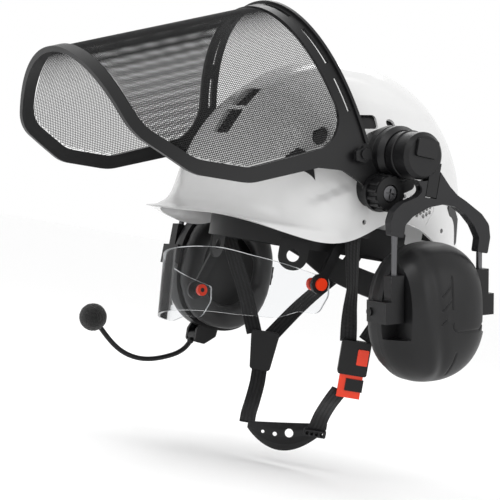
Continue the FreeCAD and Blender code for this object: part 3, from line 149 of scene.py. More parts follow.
def vary(tree, shader, factor, colour, spread, rough, rough_spread):
    """Colour and roughness drift a little with the noise."""
    low = tuple(c * (1 - spread) for c in colour)
    high = tuple(min(c * (1 + spread), 1) for c in colour)
    tree.links.new(blend_colours(tree, factor, low, high), shader.inputs["Base Color"])
    ramp = add(tree, "ShaderNodeMapRange")
    ramp.inputs["To Min"].default_value = rough - rough_spread
    ramp.inputs["To Max"].default_value = rough + rough_spread
    tree.links.new(factor, ramp.inputs["Value"])
    tree.links.new(ramp.outputs["Result"], shader.inputs["Roughness"])


def moulded(name, colour, rough, grain, strength, spread=0.12, coat=0.0, metallic=0.0):
    """Moulded plastic or coated metal: a fine surface grain and a slow drift of colour and sheen."""
    made, tree, shader = new_material(name)
    drift = object_noise(tree, DRIFT_SCALE)
    vary(tree, shader, drift.outputs["Fac"], colour, spread, rough, 0.06)
    fine = object_noise(tree, grain, 2.0)
    bump_from(tree, shader, fine.outputs["Fac"], strength, GRAIN_DEPTH)
    shader.inputs["Coat Weight"].default_value = coat
    shader.inputs["Coat Roughness"].default_value = COAT_ROUGHNESS
    shader.inputs["Metallic"].default_value = metallic
    shader.inputs["Specular IOR Level"].default_value = DULL_SPECULAR
    return made


def webbing_material(name):
    """Black ribbed webbing: ribs along the strap, fine picks across it. UV is in metres."""
    made, tree, shader = new_material(name)
    uv = add(tree, "ShaderNodeTexCoord")
    ribs = add(tree, "ShaderNodeTexWave", bands_direction="Y", **WEAVE_RIBS)
    picks = add(tree, "ShaderNodeTexWave", bands_direction="X", **WEAVE_PICKS)
    total = add(tree, "ShaderNodeMath", operation="ADD")
    for wave, slot in ((ribs, 0), (picks, 1)):
        tree.links.new(uv.outputs["UV"], wave.inputs["Vector"])
        tree.links.new(wave.outputs["Fac"], total.inputs[slot])
    bump_from(tree, shader, total.outputs["Value"], 0.55, WEAVE_DEPTH)
    # painted light and shade: the black is a little lighter on the rib tops and darker in the valleys between them
    colour = blend_colours(tree, ribs.outputs["Fac"], (0.003, 0.003, 0.0035), (0.011, 0.011, 0.012))
    tree.links.new(colour, shader.inputs["Base Color"])
    shader.inputs["Roughness"].default_value = 0.65
    shader.inputs["Specular IOR Level"].default_value = DULL_SPECULAR
    shader.inputs["Sheen Weight"].default_value = 0.12
    return made


def lens_material(name, tint, gloss, body):
    """Clear polycarbonate: see-through face on, glossy edge on, with a faint painted glow in a noise pattern."""
    made, tree, shader = new_material(name)
    shader.inputs["Base Color"].default_value = (*body, 1)
    shader.inputs["Roughness"].default_value = LENS_ROUGHNESS
    clear = add(tree, "ShaderNodeBsdfTransparent", Color=(*tint, 1))
    facing = add(tree, "ShaderNodeLayerWeight", Blend=gloss)
    mix = add(tree, "ShaderNodeMixShader")
    tree.links.new(facing.outputs["Fresnel"], mix.inputs["Fac"])
    tree.links.new(clear.outputs["BSDF"], mix.inputs[1])
    tree.links.new(shader.outputs["BSDF"], mix.inputs[2])
    # painted glow: the lens gives off a little light in a faint noise pattern, though it is no lamp
    glow_noise = object_noise(tree, GLOW_NOISE_SCALE)
    glow_strength = add(tree, "ShaderNodeMath", operation="MULTIPLY")
    glow_strength.inputs[1].default_value = PAINTED_GLOW
    tree.links.new(glow_noise.outputs["Fac"], glow_strength.inputs[0])
    glow = add(tree, "ShaderNodeEmission")
    tree.links.new(glow_strength.outputs["Value"], glow.inputs["Strength"])
    total = add(tree, "ShaderNodeAddShader")
    tree.links.new(mix.outputs["Shader"], total.inputs[0])
    tree.links.new(glow.outputs["Emission"], total.inputs[1])
    tree.links.new(total.outputs["Shader"], tree.nodes["Material Output"].inputs["Surface"])
    return made


def soft_skin(name, colour, rough, cell, strength, sheen):
    """Vinyl, towelling or foam: cells large or small over a noisy base."""
    made, tree, shader = new_material(name)
    drift = object_noise(tree, SOFT_DRIFT_SCALE)
    vary(tree, shader, drift.outputs["Fac"], colour, 0.25, rough, 0.08)
    cells = object_cells(tree, cell)
    bump_from(tree, shader, cells.outputs["Distance"], strength, CELL_DEPTH)
    shader.inputs["Sheen Weight"].default_value = sheen
    return made


FINISHES = {
    "white_abs": moulded("white_abs", (0.67, 0.67, 0.668), 0.24, 900.0, 0.02, spread=0.012, coat=0.25),
    "black_plastic": moulded("black_plastic", (0.0045, 0.0045, 0.005), 0.42, 2600.0, 0.12),
    "charcoal_plastic": moulded("charcoal_plastic", (0.0065, 0.0065, 0.007), 0.4, 2600.0, 0.12),
    "grey_plastic": moulded("grey_plastic", (0.011, 0.011, 0.012), 0.42, 2600.0, 0.12),
    "orange_plastic": moulded("orange_plastic", (0.78, 0.04, 0.008), 0.34, 1800.0, 0.05,
                              spread=0.06, coat=0.2),
    "steel_rod": moulded("steel_rod", (0.11, 0.11, 0.115), 0.28, 3000.0, 0.08,
                         spread=0.15, metallic=0.85),
    "visor_steel_mesh": moulded("visor_steel_mesh", (0.012, 0.012, 0.0125), 0.45, 3000.0, 0.05,
                                spread=0.15, metallic=0.3),
    "clear_lens": lens_material("clear_lens", (0.965, 0.97, 0.975), 0.1, (0.05, 0.05, 0.05)),
    "webbing": webbing_material("webbing"),
    "cushion": soft_skin("cushion", (0.007, 0.007, 0.0075), 0.42, 700.0, 0.07, 0.05),
    "open_foam": soft_skin("open_foam", (0.006, 0.006, 0.006), 0.95, 1100.0, 0.8, 0.2),
    "brow_fabric": soft_skin("brow_fabric", (0.009, 0.009, 0.01), 0.9, 1500.0, 0.4, 0.3),
    "liner_foam": soft_skin("liner_foam", (0.02, 0.02, 0.021), 0.85, 260.0, 0.4, 0.0),
}
for subpart in frame["record"]["subparts"]:
    shown = NODES[subpart["node"]]
    shown.data.materials.clear()
    shown.data.materials.append(FINISHES[subpart["material_slot"]])

# painted highlight: the lens's edge faces get a near-white body and a grey tint, so they shine white under any
# light
LENS_EDGE_HIGHLIGHT = lens_material("lens_edge", (0.6, 0.63, 0.65), 0.85, (0.9, 0.92, 0.93))
LENS_CENTRE = Vector((0, 12 * MM, 0))
EDGE_COSINE = 0.6  # a face of the lens that turns further than this from straight outward is its edge


def paint_lens_edge_highlight(piece):
    """The narrow faces round the lens get a near-white material, a painted highlight along the lens's edge."""
    piece.data.materials.append(LENS_EDGE_HIGHLIGHT)
    for polygon in piece.data.polygons:
        outward = polygon.center - LENS_CENTRE
        outward.z = 0
        if abs(polygon.normal.dot(outward.normalized())) < EDGE_COSINE:
            polygon.material_index = 1


paint_lens_edge_highlight(NODES["eye_shield_lens"])

# -------------------------------------------------------------------------------------- mesh helpers


def mesh_piece(name, points, faces, uvs, finish, body, *replaced):
    """A new piece from points and faces, in the row frame, that rides on a body."""
    data = bpy.data.meshes.new(name)
    data.from_pydata(points, [], faces)
    data.materials.append(FINISHES[finish])
    if uvs:
        layer = data.uv_layers.new(name="UVMap")
        for loop in data.loops:
            layer.data[loop.index].uv = uvs[loop.vertex_index]
    for polygon in data.polygons:
        polygon.use_smooth = True
    piece = bpy.data.objects.new(name, data)
    bpy.context.scene.collection.objects.link(piece)
    if body:
        settle(piece, finish, body, *replaced)
    return piece


def settle(piece, finish, body, *replaced):
    """Puts a piece on its body and hides the CAD nodes it stands for; finish is not used."""
    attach(piece, body)
    if replaced:
        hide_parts(*replaced)


def copy_of(node, name):
    """A free copy of a CAD node's mesh, to be reworked."""
    piece = bpy.data.objects.new(name, NODES[node].data.copy())
    bpy.context.scene.collection.objects.link(piece)
    return piece


def apply_modifiers(piece):
    """Freezes a piece's modifiers into its mesh."""
    graph = bpy.context.evaluated_depsgraph_get()
    made = bpy.data.meshes.new_from_object(piece.evaluated_get(graph))
    piece.modifiers.clear()
    old = piece.data
    piece.data = made
    bpy.data.meshes.remove(old)
    for polygon in piece.data.polygons:
        polygon.use_smooth = True


def smooth_path(points, steps):
    """Points of a Catmull-Rom curve through the given points."""
    ends = [points[0] * 2 - points[1]] + points + [points[-1] * 2 - points[-2]]
    made = []
    for i in range(len(points) - 1):
        a, b, c, d = ends[i:i + 4]
        for k in range(steps):
            t = k / steps
            made.append(0.5 * (2 * b + (c - a) * t + (2 * a - 5 * b + 4 * c - d) * t * t
                               + (3 * b - a - 3 * c + d) * t ** 3))
    made.append(points[-1])
    return made


# --------------------------------------------------------------------------------------- visor's mesh

# The sheet is the upper half of an elliptic tube. The tube runs fore and aft through the visor's pivot
# and, with the visor raised, dips to the front by VISOR_LEAN.
VISOR_PIVOT = Vector(JOINTS["visor_tilt"]["pos_m"])
VISOR_LEAN = math.radians(22.4)
SHEET_HALF_WIDTH = 118.5 * MM
SHEET_HALF_HEIGHT = 152.5 * MM
SHEET_FRONT = -200 * MM
SHEET_BACK = 30 * MM
SHEET_PROBE = 4 * MM
WIRE_PITCH = 1.6 * MM
WIRE_RADIUS = 0.27 * MM
WIRE_BEND = 2  # a wire has a point at every second crossing
ARC_SAMPLES = 20001


def even_angles(pitch):
    """Angles round the visor's half ellipse that are a pitch apart along its curve."""
    fine = numpy.linspace(0, math.pi, ARC_SAMPLES)
    x = SHEET_HALF_WIDTH * numpy.cos(fine)
    z = SHEET_HALF_HEIGHT * numpy.sin(fine)
    run = numpy.concatenate(([0], numpy.cumsum(numpy.hypot(numpy.diff(x), numpy.diff(z)))))
    return numpy.interp(numpy.arange(pitch, run[-1], pitch), run, fine)


def tube(nodes, side, face):
    """Points and faces of a closed square wire through nodes; side and face point across it."""
    points, faces = [], []
    for node, across, out in zip(nodes, side, face):
        points += [node + across, node + out, node - across, node - out]
    for k in range(len(nodes) - 1):
        for j in range(4):
            a, b = 4 * k + j, 4 * k + (j + 1) % 4
            faces.append((a, b, b + 4, a + 4))
    last = 4 * (len(nodes) - 1)
    faces += [(3, 2, 1, 0), (last, last + 1, last + 2, last + 3)]
    return points, faces


def runs_of(marks):
    """(first, last) of every run of true marks that is at least two long."""
    found = []
    first = None
    for k, mark in enumerate(list(marks) + [False]):
        if mark and first is None:
            first = k
        if not mark and first is not None:
            if k - first > 1:
                found.append((first, k - 1))
            first = None
    return found


def wire_sheet():
    """Lays the visor's wires one by one wherever the CAD sheet is: long ones outside, cross ones inside."""
    sheet = NODES["visor_mesh"].data
    tree = BVHTree.FromPolygons([v.co for v in sheet.vertices], [p.vertices for p in sheet.polygons])
    turn = Matrix.Rotation(VISOR_LEAN, 3, "X")
    along = turn @ Vector((0, 1, 0))
    reaches = numpy.arange(SHEET_FRONT, SHEET_BACK, WIRE_PITCH)
    spots, outs, arounds = [], [], []
    for angle in even_angles(WIRE_PITCH):
        c, s = math.cos(angle), math.sin(angle)
        spots.append(VISOR_PIVOT + turn @ Vector((SHEET_HALF_WIDTH * c, 0, SHEET_HALF_HEIGHT * s)))
        outs.append((turn @ Vector((c / SHEET_HALF_WIDTH, 0, s / SHEET_HALF_HEIGHT))).normalized())
        arounds.append(along.cross(outs[-1]))
    inside = numpy.zeros((len(spots), len(reaches)), bool)
    for i, (spot, out) in enumerate(zip(spots, outs)):
        for j, reach in enumerate(reaches):
            start = spot + along * reach + out * SHEET_PROBE
            inside[i, j] = tree.ray_cast(start, -out, 2 * SHEET_PROBE)[0] is not None
    points, faces = [], []

    def lay(nodes, side, face):
        """Adds one wire to the sheet."""
        wire_points, wire_faces = tube(nodes, side, face)
        base = len(points)
        points.extend(wire_points)
        faces.extend(tuple(v + base for v in one) for one in wire_faces)

    for i in range(len(spots)):
        rise = outs[i] * WIRE_RADIUS
        for first, last in runs_of(inside[i, ::WIRE_BEND]):
            nodes = [spots[i] + along * reaches[k * WIRE_BEND] + rise for k in range(first, last + 1)]
            lay(nodes, [arounds[i] * WIRE_RADIUS] * len(nodes), [rise] * len(nodes))
    for j in range(len(reaches)):
        for first, last in runs_of(inside[::WIRE_BEND, j]):
            picks = [k * WIRE_BEND for k in range(first, last + 1)]
            nodes = [spots[k] + along * reaches[j] - outs[k] * WIRE_RADIUS for k in picks]
            lay(nodes, [along * WIRE_RADIUS] * len(nodes), [outs[k] * WIRE_RADIUS for k in picks])
    mesh_piece("visor_wires", points, faces, None, "visor_steel_mesh", "visor", "visor_mesh")


wire_sheet()

# -------------------------------------------------------------------------------------------- straps

WEB_WIDTH = 13.6 * MM
WEB_SKIN = 1.7 * MM
WEB_EDGE = (0.5, 6)  # how much thinner the edges are, and how sharply that sets in
RIB_DEPTH = 0.13 * MM
RIB_COUNT = 8
WEB_POINTS = 25  # across one face


def level(degrees):
    """Unit vector in the XY plane, at an angle from +X."""
    return Vector((math.cos(math.radians(degrees)), math.sin(math.radians(degrees)), 0))


def half_thickness(u):
    """Half of the webbing's thickness at u, which runs from -1 to 1 across it: thin edges, pressed ribs."""
    thinner, power = WEB_EDGE
    pressed = RIB_DEPTH * (0.5 - 0.5 * math.cos(RIB_COUNT * math.pi * u))
    return WEB_SKIN / 2 * (1 - thinner * abs(u) ** power) - pressed


def strap(path_mm, angles, width=WEB_WIDTH, steps=8):
    """Webbing along a path, its width lying level at the given angles. Returns (points, faces, uvs)."""
    path = smooth_path([Vector(p) * MM for p in path_mm], steps)
    spans = len(path_mm) - 1
    points, faces, uvs = [], [], []
    run = 0.0
    for i, centre in enumerate(path):
        where = i / steps
        k = min(int(where), spans - 1)
        degrees = angles[k] + (angles[k + 1] - angles[k]) * (where - k)
        along = (path[min(i + 1, len(path) - 1)] - path[max(i - 1, 0)]).normalized()
        across = level(degrees)
        across = (across - along * across.dot(along)).normalized()
        face = along.cross(across).normalized()
        if i:
            run += (centre - path[i - 1]).length
        for side in (1, -1):
            for j in range(WEB_POINTS):
                u = -1 + 2 * j / (WEB_POINTS - 1)
                points.append(centre + across * (u * side * width / 2) + face * (half_thickness(u) * side))
                uvs.append((run, u * side * width / 2))
    ring = 2 * WEB_POINTS
    for i in range(len(path) - 1):
        for j in range(ring):
            a, b = i * ring + j, i * ring + (j + 1) % ring
            faces.append((a, b, b + ring, a + ring))
    faces.append(tuple(range(ring))[::-1])
    faces.append(tuple(range((len(path) - 1) * ring, len(path) * ring)))
    return points, faces, uvs


def strap_piece(name, replaced, body, *runs):
    """One piece made of several runs of webbing."""
    points, faces, uvs = [], [], []
    for run in runs:
        base = len(points)
        points += run[0]
        faces += [tuple(v + base for v in face) for face in run[1]]
        uvs += run[2]
    return mesh_piece(name, points, faces, uvs, "webbing", body, replaced)


# Each strap is a path in millimetres, and at each of its points the level angle of its width in degrees.
TONGUE_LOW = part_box("chin_buckle_tongue")[0].z / MM
FRONT_LEFT = (((98, -33.5, 9.4), (93, -27, -8), (85, -17, -30), (80, -11.8, -50), (74.2, -4.1, -74)),
              (90, 100, 110, 90, 58))
FRONT_RIGHT = (((-98, -33.5, 9.4), (-95, -24, -15), (-88, -8, -50), (-76, 2, -86)),
               (90, 80, 70, 58))
REAR_LEFT = (((81.8, 8.1, -72.4), (84, 16, -56), (85, 30, -32), (86, 55, -12), (78, 75, -2),
              (60, 91.5, 10.2)),
             (58, 72, 80, 100, 125, 141))
REAR_RIGHT = (((-69, 14, -88), (-74, 45, -56), (-78, 75.5, -29), (-70, 87, -12), (-60, 91.5, 10.2)),
              (58, 52, 46, 40, 39))
LOWER_RIGHT = (((-70, 10, -106), (-69.6, 9.7, -119.4), (-64, 6, -130), (-53, -3, -144), (-42, -12, -154),
                (-33, -18, -161)),
               (56,) * 6)
LOWER_LEFT = (((70, -1.5, TONGUE_LOW + 5), (61.5, -1.5, -125), (53, 1, -132), (44, 4, -140), (37, 6, -150),
               (31, 7.5, -159)),
              (58,) * 6)

strap_piece("front_straps", "chin_straps_front", "helmet", strap(*FRONT_LEFT), strap(*FRONT_RIGHT))
strap_piece("rear_straps", "chin_straps_rear", "helmet", strap(*REAR_LEFT), strap(*REAR_RIGHT))
strap_piece("lower_strap_right", "chin_strap_lower_right", "helmet", strap(*LOWER_RIGHT))
lower_left = strap_piece("lower_strap_left", "chin_strap_lower_left", None, strap(*LOWER_LEFT))
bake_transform(lower_left)
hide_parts("chin_strap_lower_left")

# ------------------------------------------------------------------------------------------ cup shells

# In millimetres, in the cup's own axes: x outward from the head, y to the rear, z up.
CUP_SEAM = 138.0  # x where the dome meets its frame
CUP_HALF = (49.5, 55.5)
CUP_POWER = 2.3  # of the superellipse that is the cup's outline
CUP_AROUND = 448
CUP_SECTION_STEPS = 14
# The dome's section, as (height over the seam, share of the outline's size).
DOME = ((0, 1.0), (6, 0.985), (12, 0.945), (18, 0.88), (23, 0.785),
        (27, 0.66), (29.8, 0.5), (31.4, 0.3), (32, 0.1))
# A rod's channel: nearest and furthest y, lowest and highest z, and the x of its floor.
CHANNEL = (34.7, 58.0, -17.0, 62.0, 142.8)
CHANNEL_TOP = 180
# Lines on the dome, as (y, z) points.
PANEL_EDGE = ((1, 31), (0, 12), (1, -9), (5, -13), (30, -13), (36, -8), (38, 6))
LOWER_LINE = ((6, -30), (3, -47))
CREASE = ((-16, 48), (-14, 20), (-10, -10), (-3, -50))
RIDGE = ((-27, 40), (-25, 12), (-20, -16), (-12, -44))
CHEVRON_Y = (-9, -1)
CHEVRON_FEET = (-6, 5, 16)
CHEVRON_RISE = 7
# How deep and how wide each kind of line is pressed in. The ridge stands out, so its depth is negative.
GROOVE = (0.9, 0.75)
CREASE_SHAPE = (1.1, 4.5)
RIDGE_SHAPE = (-1.0, 5.0)
FADE_HEIGHT = 8  # the lines fade out towards the seam over this height
# Where the cup hangs, and how the right one differs: swung forward, clamped closer and raised on its rods.
CUP_HANG = (0, 21, -39.5)
CUP_LEAN = math.radians(11.5)
SWING_AXLE = (0, -20, 79)
SWING = math.radians(-15)
CLAMP_PIN = (-150, 0, 54)
CLAMP = math.radians(-4)
RAISE = 9
SHARP_ANGLE = math.radians(40)


def line_distance(y, z, line):
    """Distance of many points from a polyline, in the cup's (y, z) plane."""
    best = numpy.full(y.shape, numpy.inf)
    for (y0, z0), (y1, z1) in zip(line, line[1:]):
        span = (y1 - y0) ** 2 + (z1 - z0) ** 2
        t = numpy.clip(((y - y0) * (y1 - y0) + (z - z0) * (z1 - z0)) / span, 0, 1)
        best = numpy.minimum(best, numpy.hypot(y - y0 - t * (y1 - y0), z - z0 - t * (z1 - z0)))
    return best


def relief(y, z):
    """How far the cup's surface is pressed in, in millimetres."""
    chevrons = [((CHEVRON_Y[0], foot), (CHEVRON_Y[1], foot + CHEVRON_RISE)) for foot in CHEVRON_FEET]
    depth = numpy.zeros(y.shape)
    for line in [PANEL_EDGE, LOWER_LINE] + chevrons:
        depth = numpy.maximum(depth, GROOVE[0] * numpy.exp(-(line_distance(y, z, line) / GROOVE[1]) ** 2))
    for line, (deep, wide) in ((CREASE, CREASE_SHAPE), (RIDGE, RIDGE_SHAPE)):
        depth += deep * numpy.exp(-(line_distance(y, z, line) / wide) ** 2)
    return depth


def dome_grid():
    """Rings of the cup's dome from the seam to the crown, as arrays of x, y and z."""
    profile = smooth_path([Vector((height, scale)) for height, scale in DOME], CUP_SECTION_STEPS)
    angle = numpy.linspace(0, 2 * math.pi, CUP_AROUND, endpoint=False)
    side = numpy.sign(numpy.cos(angle)) * numpy.abs(numpy.cos(angle)) ** (2 / CUP_POWER)
    rise = numpy.sign(numpy.sin(angle)) * numpy.abs(numpy.sin(angle)) ** (2 / CUP_POWER)
    height = numpy.array([p[0] for p in profile])[:, None]
    scale = numpy.array([p[1] for p in profile])[:, None]
    y = CUP_HALF[0] * scale * side
    z = CUP_HALF[1] * scale * rise
    fade = numpy.clip(height / FADE_HEIGHT, 0, 1)
    return CUP_SEAM + height - relief(y, z) * fade, y, z


def cup_place(side):
    """The cup's own axes in the row frame."""
    lean = Matrix.Translation(CUP_HANG) @ Matrix.Rotation(CUP_LEAN, 4, "X")
    if side == "left":
        return lean
    hub = Matrix.Translation(SWING_AXLE)
    swing = hub @ Matrix.Rotation(SWING, 4, "X") @ hub.inverted()
    pin = Matrix.Translation(CLAMP_PIN)
    clamp = pin @ Matrix.Rotation(CLAMP, 4, "Y") @ pin.inverted()
    up = lean.to_3x3() @ Vector((0, 0, RAISE))
    return swing @ clamp @ Matrix.Translation(up) @ Matrix.Scale(-1, 4, (1, 0, 0)) @ lean


def box_tool(low, high):
    """A box between two corners, to cut with."""
    work = bmesh.new()
    bmesh.ops.create_cube(work, size=1)
    for vertex in work.verts:
        vertex.co = Vector([low[k] + (vertex.co[k] + 0.5) * (high[k] - low[k]) for k in range(3)])
    data = bpy.data.meshes.new("tool")
    work.to_mesh(data)
    work.free()
    tool = bpy.data.objects.new("tool", data)
    bpy.context.scene.collection.objects.link(tool)
    return tool


def cup_shell(side):
    """A closed dome with its relief, cut by the two channels its rods run in."""
    x, y, z = dome_grid()
    rings = x.shape[0]
    points = numpy.stack((x, y, z), axis=-1).reshape(-1, 3).tolist()
    faces = []
    for ring in range(rings - 1):
        base = ring * CUP_AROUND
        for k in range(CUP_AROUND):
            after = (k + 1) % CUP_AROUND
            faces.append((base + k, base + after, base + CUP_AROUND + after, base + CUP_AROUND + k))
    faces.append(tuple(range(CUP_AROUND))[::-1])
    faces.append(tuple(range((rings - 1) * CUP_AROUND, rings * CUP_AROUND)))
    piece = mesh_piece(f"cup_dome_{side}", points, faces, None, "charcoal_plastic", None)
    near, far, low, high, floor = CHANNEL
    for sign in (-1, 1):
        ys = sorted((sign * near, sign * far))
        tool = box_tool((floor, ys[0], low), (CHANNEL_TOP, ys[1], high))
        cutter = piece.modifiers.new("channel", "BOOLEAN")
        cutter.operation = "DIFFERENCE"
        cutter.object = tool
        apply_modifiers(piece)
        bpy.data.objects.remove(tool)
    place = Matrix.Scale(MM, 4) @ cup_place(side)
    piece.data.transform(place)
    if place.determinant() < 0:
        piece.data.flip_normals()
    piece.data.set_sharp_from_angle(angle=SHARP_ANGLE)
    piece.data.materials.clear()
    piece.data.materials.append(FINISHES["charcoal_plastic"])
    settle(piece, "charcoal_plastic", f"cup_{side}", f"cup_shell_{side}")


for side in ("left", "right"):
    cup_shell(side)

# ------------------------------------------------------------------------------------------ soft goods

CLOTH_FRAMES = 20
SMOOTH_PASSES = 3
CUSHION_SEAM = 126.3  # x of the welded seam in the cup's own axes, in millimetres
SEAM_DEPTH = 1.1
SEAM_WIDTH = 1.1
GLUED = 4 * MM  # this much of a cushion, next to its cup, doesn't swell
PAD_BACK = -33 * MM  # the brow pad's ends, behind this y, don't swell
QUILT_PITCH = 22 * MM
QUILT_DEPTH = 1.0 * MM
QUILT_WIDTH = 1.6 * MM


def puff(node, name, finish, body, voxel, pressure, cap, pinned, sew):
    """A padded piece: its CAD shape remeshed, blown up by Cloth by no more than cap, then sewn."""
    piece = copy_of(node, name)
    remesh = piece.modifiers.new("remesh", "REMESH")
    remesh.mode = "VOXEL"
    remesh.voxel_size = voxel
    apply_modifiers(piece)
    rest = [v.co.copy() for v in piece.data.vertices]
    group = piece.vertex_groups.new(name="pin")
    group.add([i for i, co in enumerate(rest) if pinned(co)], 1.0, "REPLACE")
    cloth = piece.modifiers.new("cloth", "CLOTH")
    cloth.settings.use_pressure = True
    cloth.settings.uniform_pressure_force = pressure
    cloth.settings.vertex_group_mass = "pin"
    cloth.settings.effector_weights.gravity = 0.0
    cloth.point_cache.frame_start = 1
    cloth.point_cache.frame_end = CLOTH_FRAMES
    for tick in range(1, CLOTH_FRAMES + 1):
        bpy.context.scene.frame_set(tick)
    apply_modifiers(piece)
    for vertex, co in zip(piece.data.vertices, rest):
        move = vertex.co - co
        if move.length > cap:
            vertex.co = co + move.normalized() * cap
    bpy.context.scene.frame_set(1)
    for vertex in piece.data.vertices:
        vertex.co = sew(vertex.co)
    smooth = piece.modifiers.new("smooth", "SMOOTH")
    smooth.iterations = SMOOTH_PASSES
    rounded = piece.modifiers.new("rounded", "SUBSURF")
    rounded.levels = 1
    apply_modifiers(piece)
    piece.data.materials.clear()
    piece.data.materials.append(FINISHES[finish])
    settle(piece, finish, body, node)


def quilted(co):
    """Presses shallow stitched channels into the brow pad, one every pitch across the forehead."""
    off = abs((co.x / QUILT_PITCH + 0.5) % 1 - 0.5) * QUILT_PITCH
    outward = (co - Vector((0, 0, co.z))).normalized()
    return co + outward * (QUILT_DEPTH * math.exp(-(off / QUILT_WIDTH) ** 2))


def welted(side):
    """Presses the welded seam into an ear cushion, all round its outer edge."""
    place = cup_place(side)
    back = place.inverted()

    def press(co):
        """A point of the cushion, moved inward where the seam is."""
        local = back @ (co / MM)
        depth = SEAM_DEPTH * math.exp(-((local.x - CUSHION_SEAM) / SEAM_WIDTH) ** 2)
        flat = Vector((0, local.y, local.z))
        return (place @ (local - flat.normalized() * depth)) * MM

    return press


def glued(side):
    """Tells which points of an ear cushion are at its cup."""
    low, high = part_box(f"ear_cushion_{side}")
    reach = abs(high.x) if side == "left" else abs(low.x)
    return lambda co: abs(co.x) > reach - GLUED


for side in ("left", "right"):
    puff(f"ear_cushion_{side}", f"cushion_{side}", "cushion", f"cup_{side}",
         voxel=3.5 * MM, pressure=4.0, cap=2.5 * MM, pinned=glued(side), sew=welted(side))
puff("brow_pad", "brow_band_pad", "brow_fabric", "helmet",
     voxel=3.0 * MM, pressure=3.0, cap=1.5 * MM, pinned=lambda co: co.y > PAD_BACK, sew=quilted)

PORE_SCALE = 1400  # per metre
LUMP_SCALE = 420
LUMP_SHARE = 0.6
PORE_DEPTH = 0.025  # as a share of the ball's radius
BALL_SUBDIVISIONS = 6


def foam_ball():
    """Foam windscreen: a slightly lumpy ball with open pores."""
    low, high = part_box("mic_windscreen")
    centre = (low + high) / 2
    radius = (high.z - low.z) / 2
    work = bmesh.new()
    bmesh.ops.create_icosphere(work, subdivisions=BALL_SUBDIVISIONS, radius=radius)
    for vertex in work.verts:
        pores = noise.noise(vertex.co * PORE_SCALE) + LUMP_SHARE * noise.noise(vertex.co * LUMP_SCALE)
        vertex.co = centre + vertex.co * (1 + PORE_DEPTH * pores)
    data = bpy.data.meshes.new("foam_ball")
    work.to_mesh(data)
    work.free()
    data.materials.append(FINISHES["open_foam"])
    piece = bpy.data.objects.new("foam_ball", data)
    bpy.context.scene.collection.objects.link(piece)
    settle(piece, "open_foam", "mic", "mic_windscreen")


foam_ball()

# ------------------------------------------------------------------------------------- head straps

CROWN_WIDTH = 18 * MM
CROWN_INSET = (4 * MM, 7 * MM)  # the runs' ends lie this far inside the corners of their box
CROWN_GAP = (1.2 * MM, 2.4 * MM)  # the first run below the box's top, and the second below the first
CROWN_POINTS = 15
CROWN_STEPS = 3
CROWN_POWER = 0.86  # below 1 the arc is squarer than an ellipse


def arc_strap(start, crown_height, end):
    """Path points of a webbing run over the head, from one clip to the other."""
    made = []
    for i in range(CROWN_POINTS):
        angle = math.pi * i / (CROWN_POINTS - 1)
        side = math.cos(angle)
        flat = (start + end) / 2 + (start - end) / 2 * math.copysign(abs(side) ** CROWN_POWER, side)
        rise = start.z + (crown_height - start.z) * math.sin(angle) ** CROWN_POWER
        made.append((flat.x / MM, flat.y / MM, rise / MM))
    return made


def crown_runs():
    """The two runs of webbing that cross over the crown, one under the other."""
    low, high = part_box("head_straps")
    runs = []
    for k, sign in enumerate((1, -1)):
        start = Vector((high.x - CROWN_INSET[0], sign * (high.y - CROWN_INSET[1]), low.z))
        end = Vector((low.x + CROWN_INSET[0], -sign * (abs(low.y) - CROWN_INSET[1]), low.z))
        angle = math.degrees(math.atan2(start.y - end.y, start.x - end.x)) + 90
        path = arc_strap(start, high.z - CROWN_GAP[0] - k * CROWN_GAP[1], end)
        runs.append(strap(path, [angle] * len(path), CROWN_WIDTH, CROWN_STEPS))
    return runs


strap_piece("crown_webbing", "head_straps", "helmet", *crown_runs())

# ------------------------------------------------------------------------------------------- the set

FLOOR_REACH = 300.0
FLOOR_CLEARANCE = 12 * MM
FLOOR_COLOUR = (0.98, 0.98, 0.98, 1)
WORLD_STRENGTH = 1.0
# Name, place, aim, size and power of each lamp.
LAMPS = (
    ("key", (0.5, -1.2, 1.3), (0, 0, 0.03), 0.9, 9.0),
    ("fill", (1.4, 0.5, 0.5), (0, 0, 0), 1.0, 3.0),
    ("rim", (-1.0, 0.6, 1.2), (0, 0, 0.05), 0.8, 6.0),
)
CAMERA_PLACE = (1.17224, -0.80764, -0.01766)
CAMERA_AZIMUTH = math.radians(57.645)
CAMERA_ELEVATION = math.radians(-0.144)
CAMERA_ROLL = math.radians(9.495)
CAMERA_LENS = 119.93
CAMERA_SENSOR = 36.0


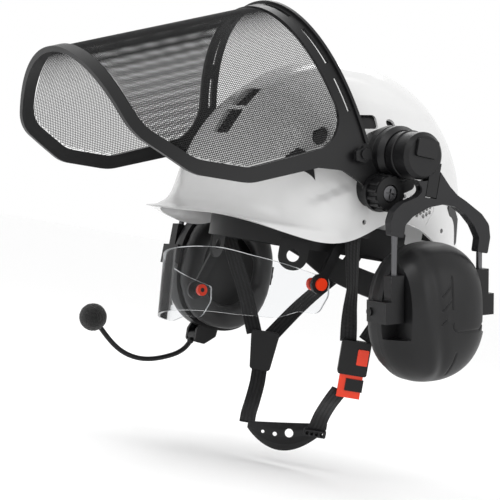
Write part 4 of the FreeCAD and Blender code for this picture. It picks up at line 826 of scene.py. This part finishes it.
def area_light(name, place, aim, size, power):
    """A round soft lamp at a place, aimed at a point."""
    data = bpy.data.lights.new(name, "AREA")
    data.shape = "DISK"
    data.size = size
    data.energy = power
    lamp = bpy.data.objects.new(name, data)
    lamp.location = place
    lamp.rotation_euler = (Vector(aim) - Vector(place)).to_track_quat("-Z", "Y").to_euler()
    bpy.context.scene.collection.objects.link(lamp)


def build_floor():
    """A wide pale floor below the helmet."""
    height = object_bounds()[0].z - FLOOR_CLEARANCE
    data = bpy.data.meshes.new("floor")
    corners = [(x * FLOOR_REACH, y * FLOOR_REACH, height) for x, y in ((-1, -1), (1, -1), (1, 1), (-1, 1))]
    data.from_pydata(corners, [], [(0, 1, 2, 3)])
    made, _, shader = new_material("floor")
    shader.inputs["Base Color"].default_value = FLOOR_COLOUR
    shader.inputs["Roughness"].default_value = 1.0
    data.materials.append(made)
    floor = bpy.data.objects.new("floor", data)
    bpy.context.scene.collection.objects.link(floor)


def build_world():
    """Even white light from all round."""
    world = bpy.data.worlds.new("studio")
    world.use_nodes = True
    background = world.node_tree.nodes["Background"]
    background.inputs["Color"].default_value = (1, 1, 1, 1)
    background.inputs["Strength"].default_value = WORLD_STRENGTH
    bpy.context.scene.world = world


def build_camera():
    """Camera from the wearer's left front, rolled a little."""
    right = Vector((math.cos(CAMERA_AZIMUTH), math.sin(CAMERA_AZIMUTH), 0))
    ahead = Vector((-right.y, right.x, 0))
    back = Vector((0, 0, math.sin(CAMERA_ELEVATION))) - ahead * math.cos(CAMERA_ELEVATION)
    up = back.cross(right)
    across = right * math.cos(CAMERA_ROLL) + up * math.sin(CAMERA_ROLL)
    upward = up * math.cos(CAMERA_ROLL) - right * math.sin(CAMERA_ROLL)
    data = bpy.data.cameras.new("camera")
    data.lens = CAMERA_LENS
    data.sensor_width = CAMERA_SENSOR
    camera = bpy.data.objects.new("camera", data)
    turn = Matrix((across, upward, back)).transposed().to_4x4()
    camera.matrix_world = Matrix.Translation(CAMERA_PLACE) @ turn
    bpy.context.scene.collection.objects.link(camera)
    bpy.context.scene.camera = camera


bpy.context.scene.view_settings.view_transform = "Standard"
build_floor()
build_world()
for lamp in LAMPS:
    area_light(*lamp)
build_camera()
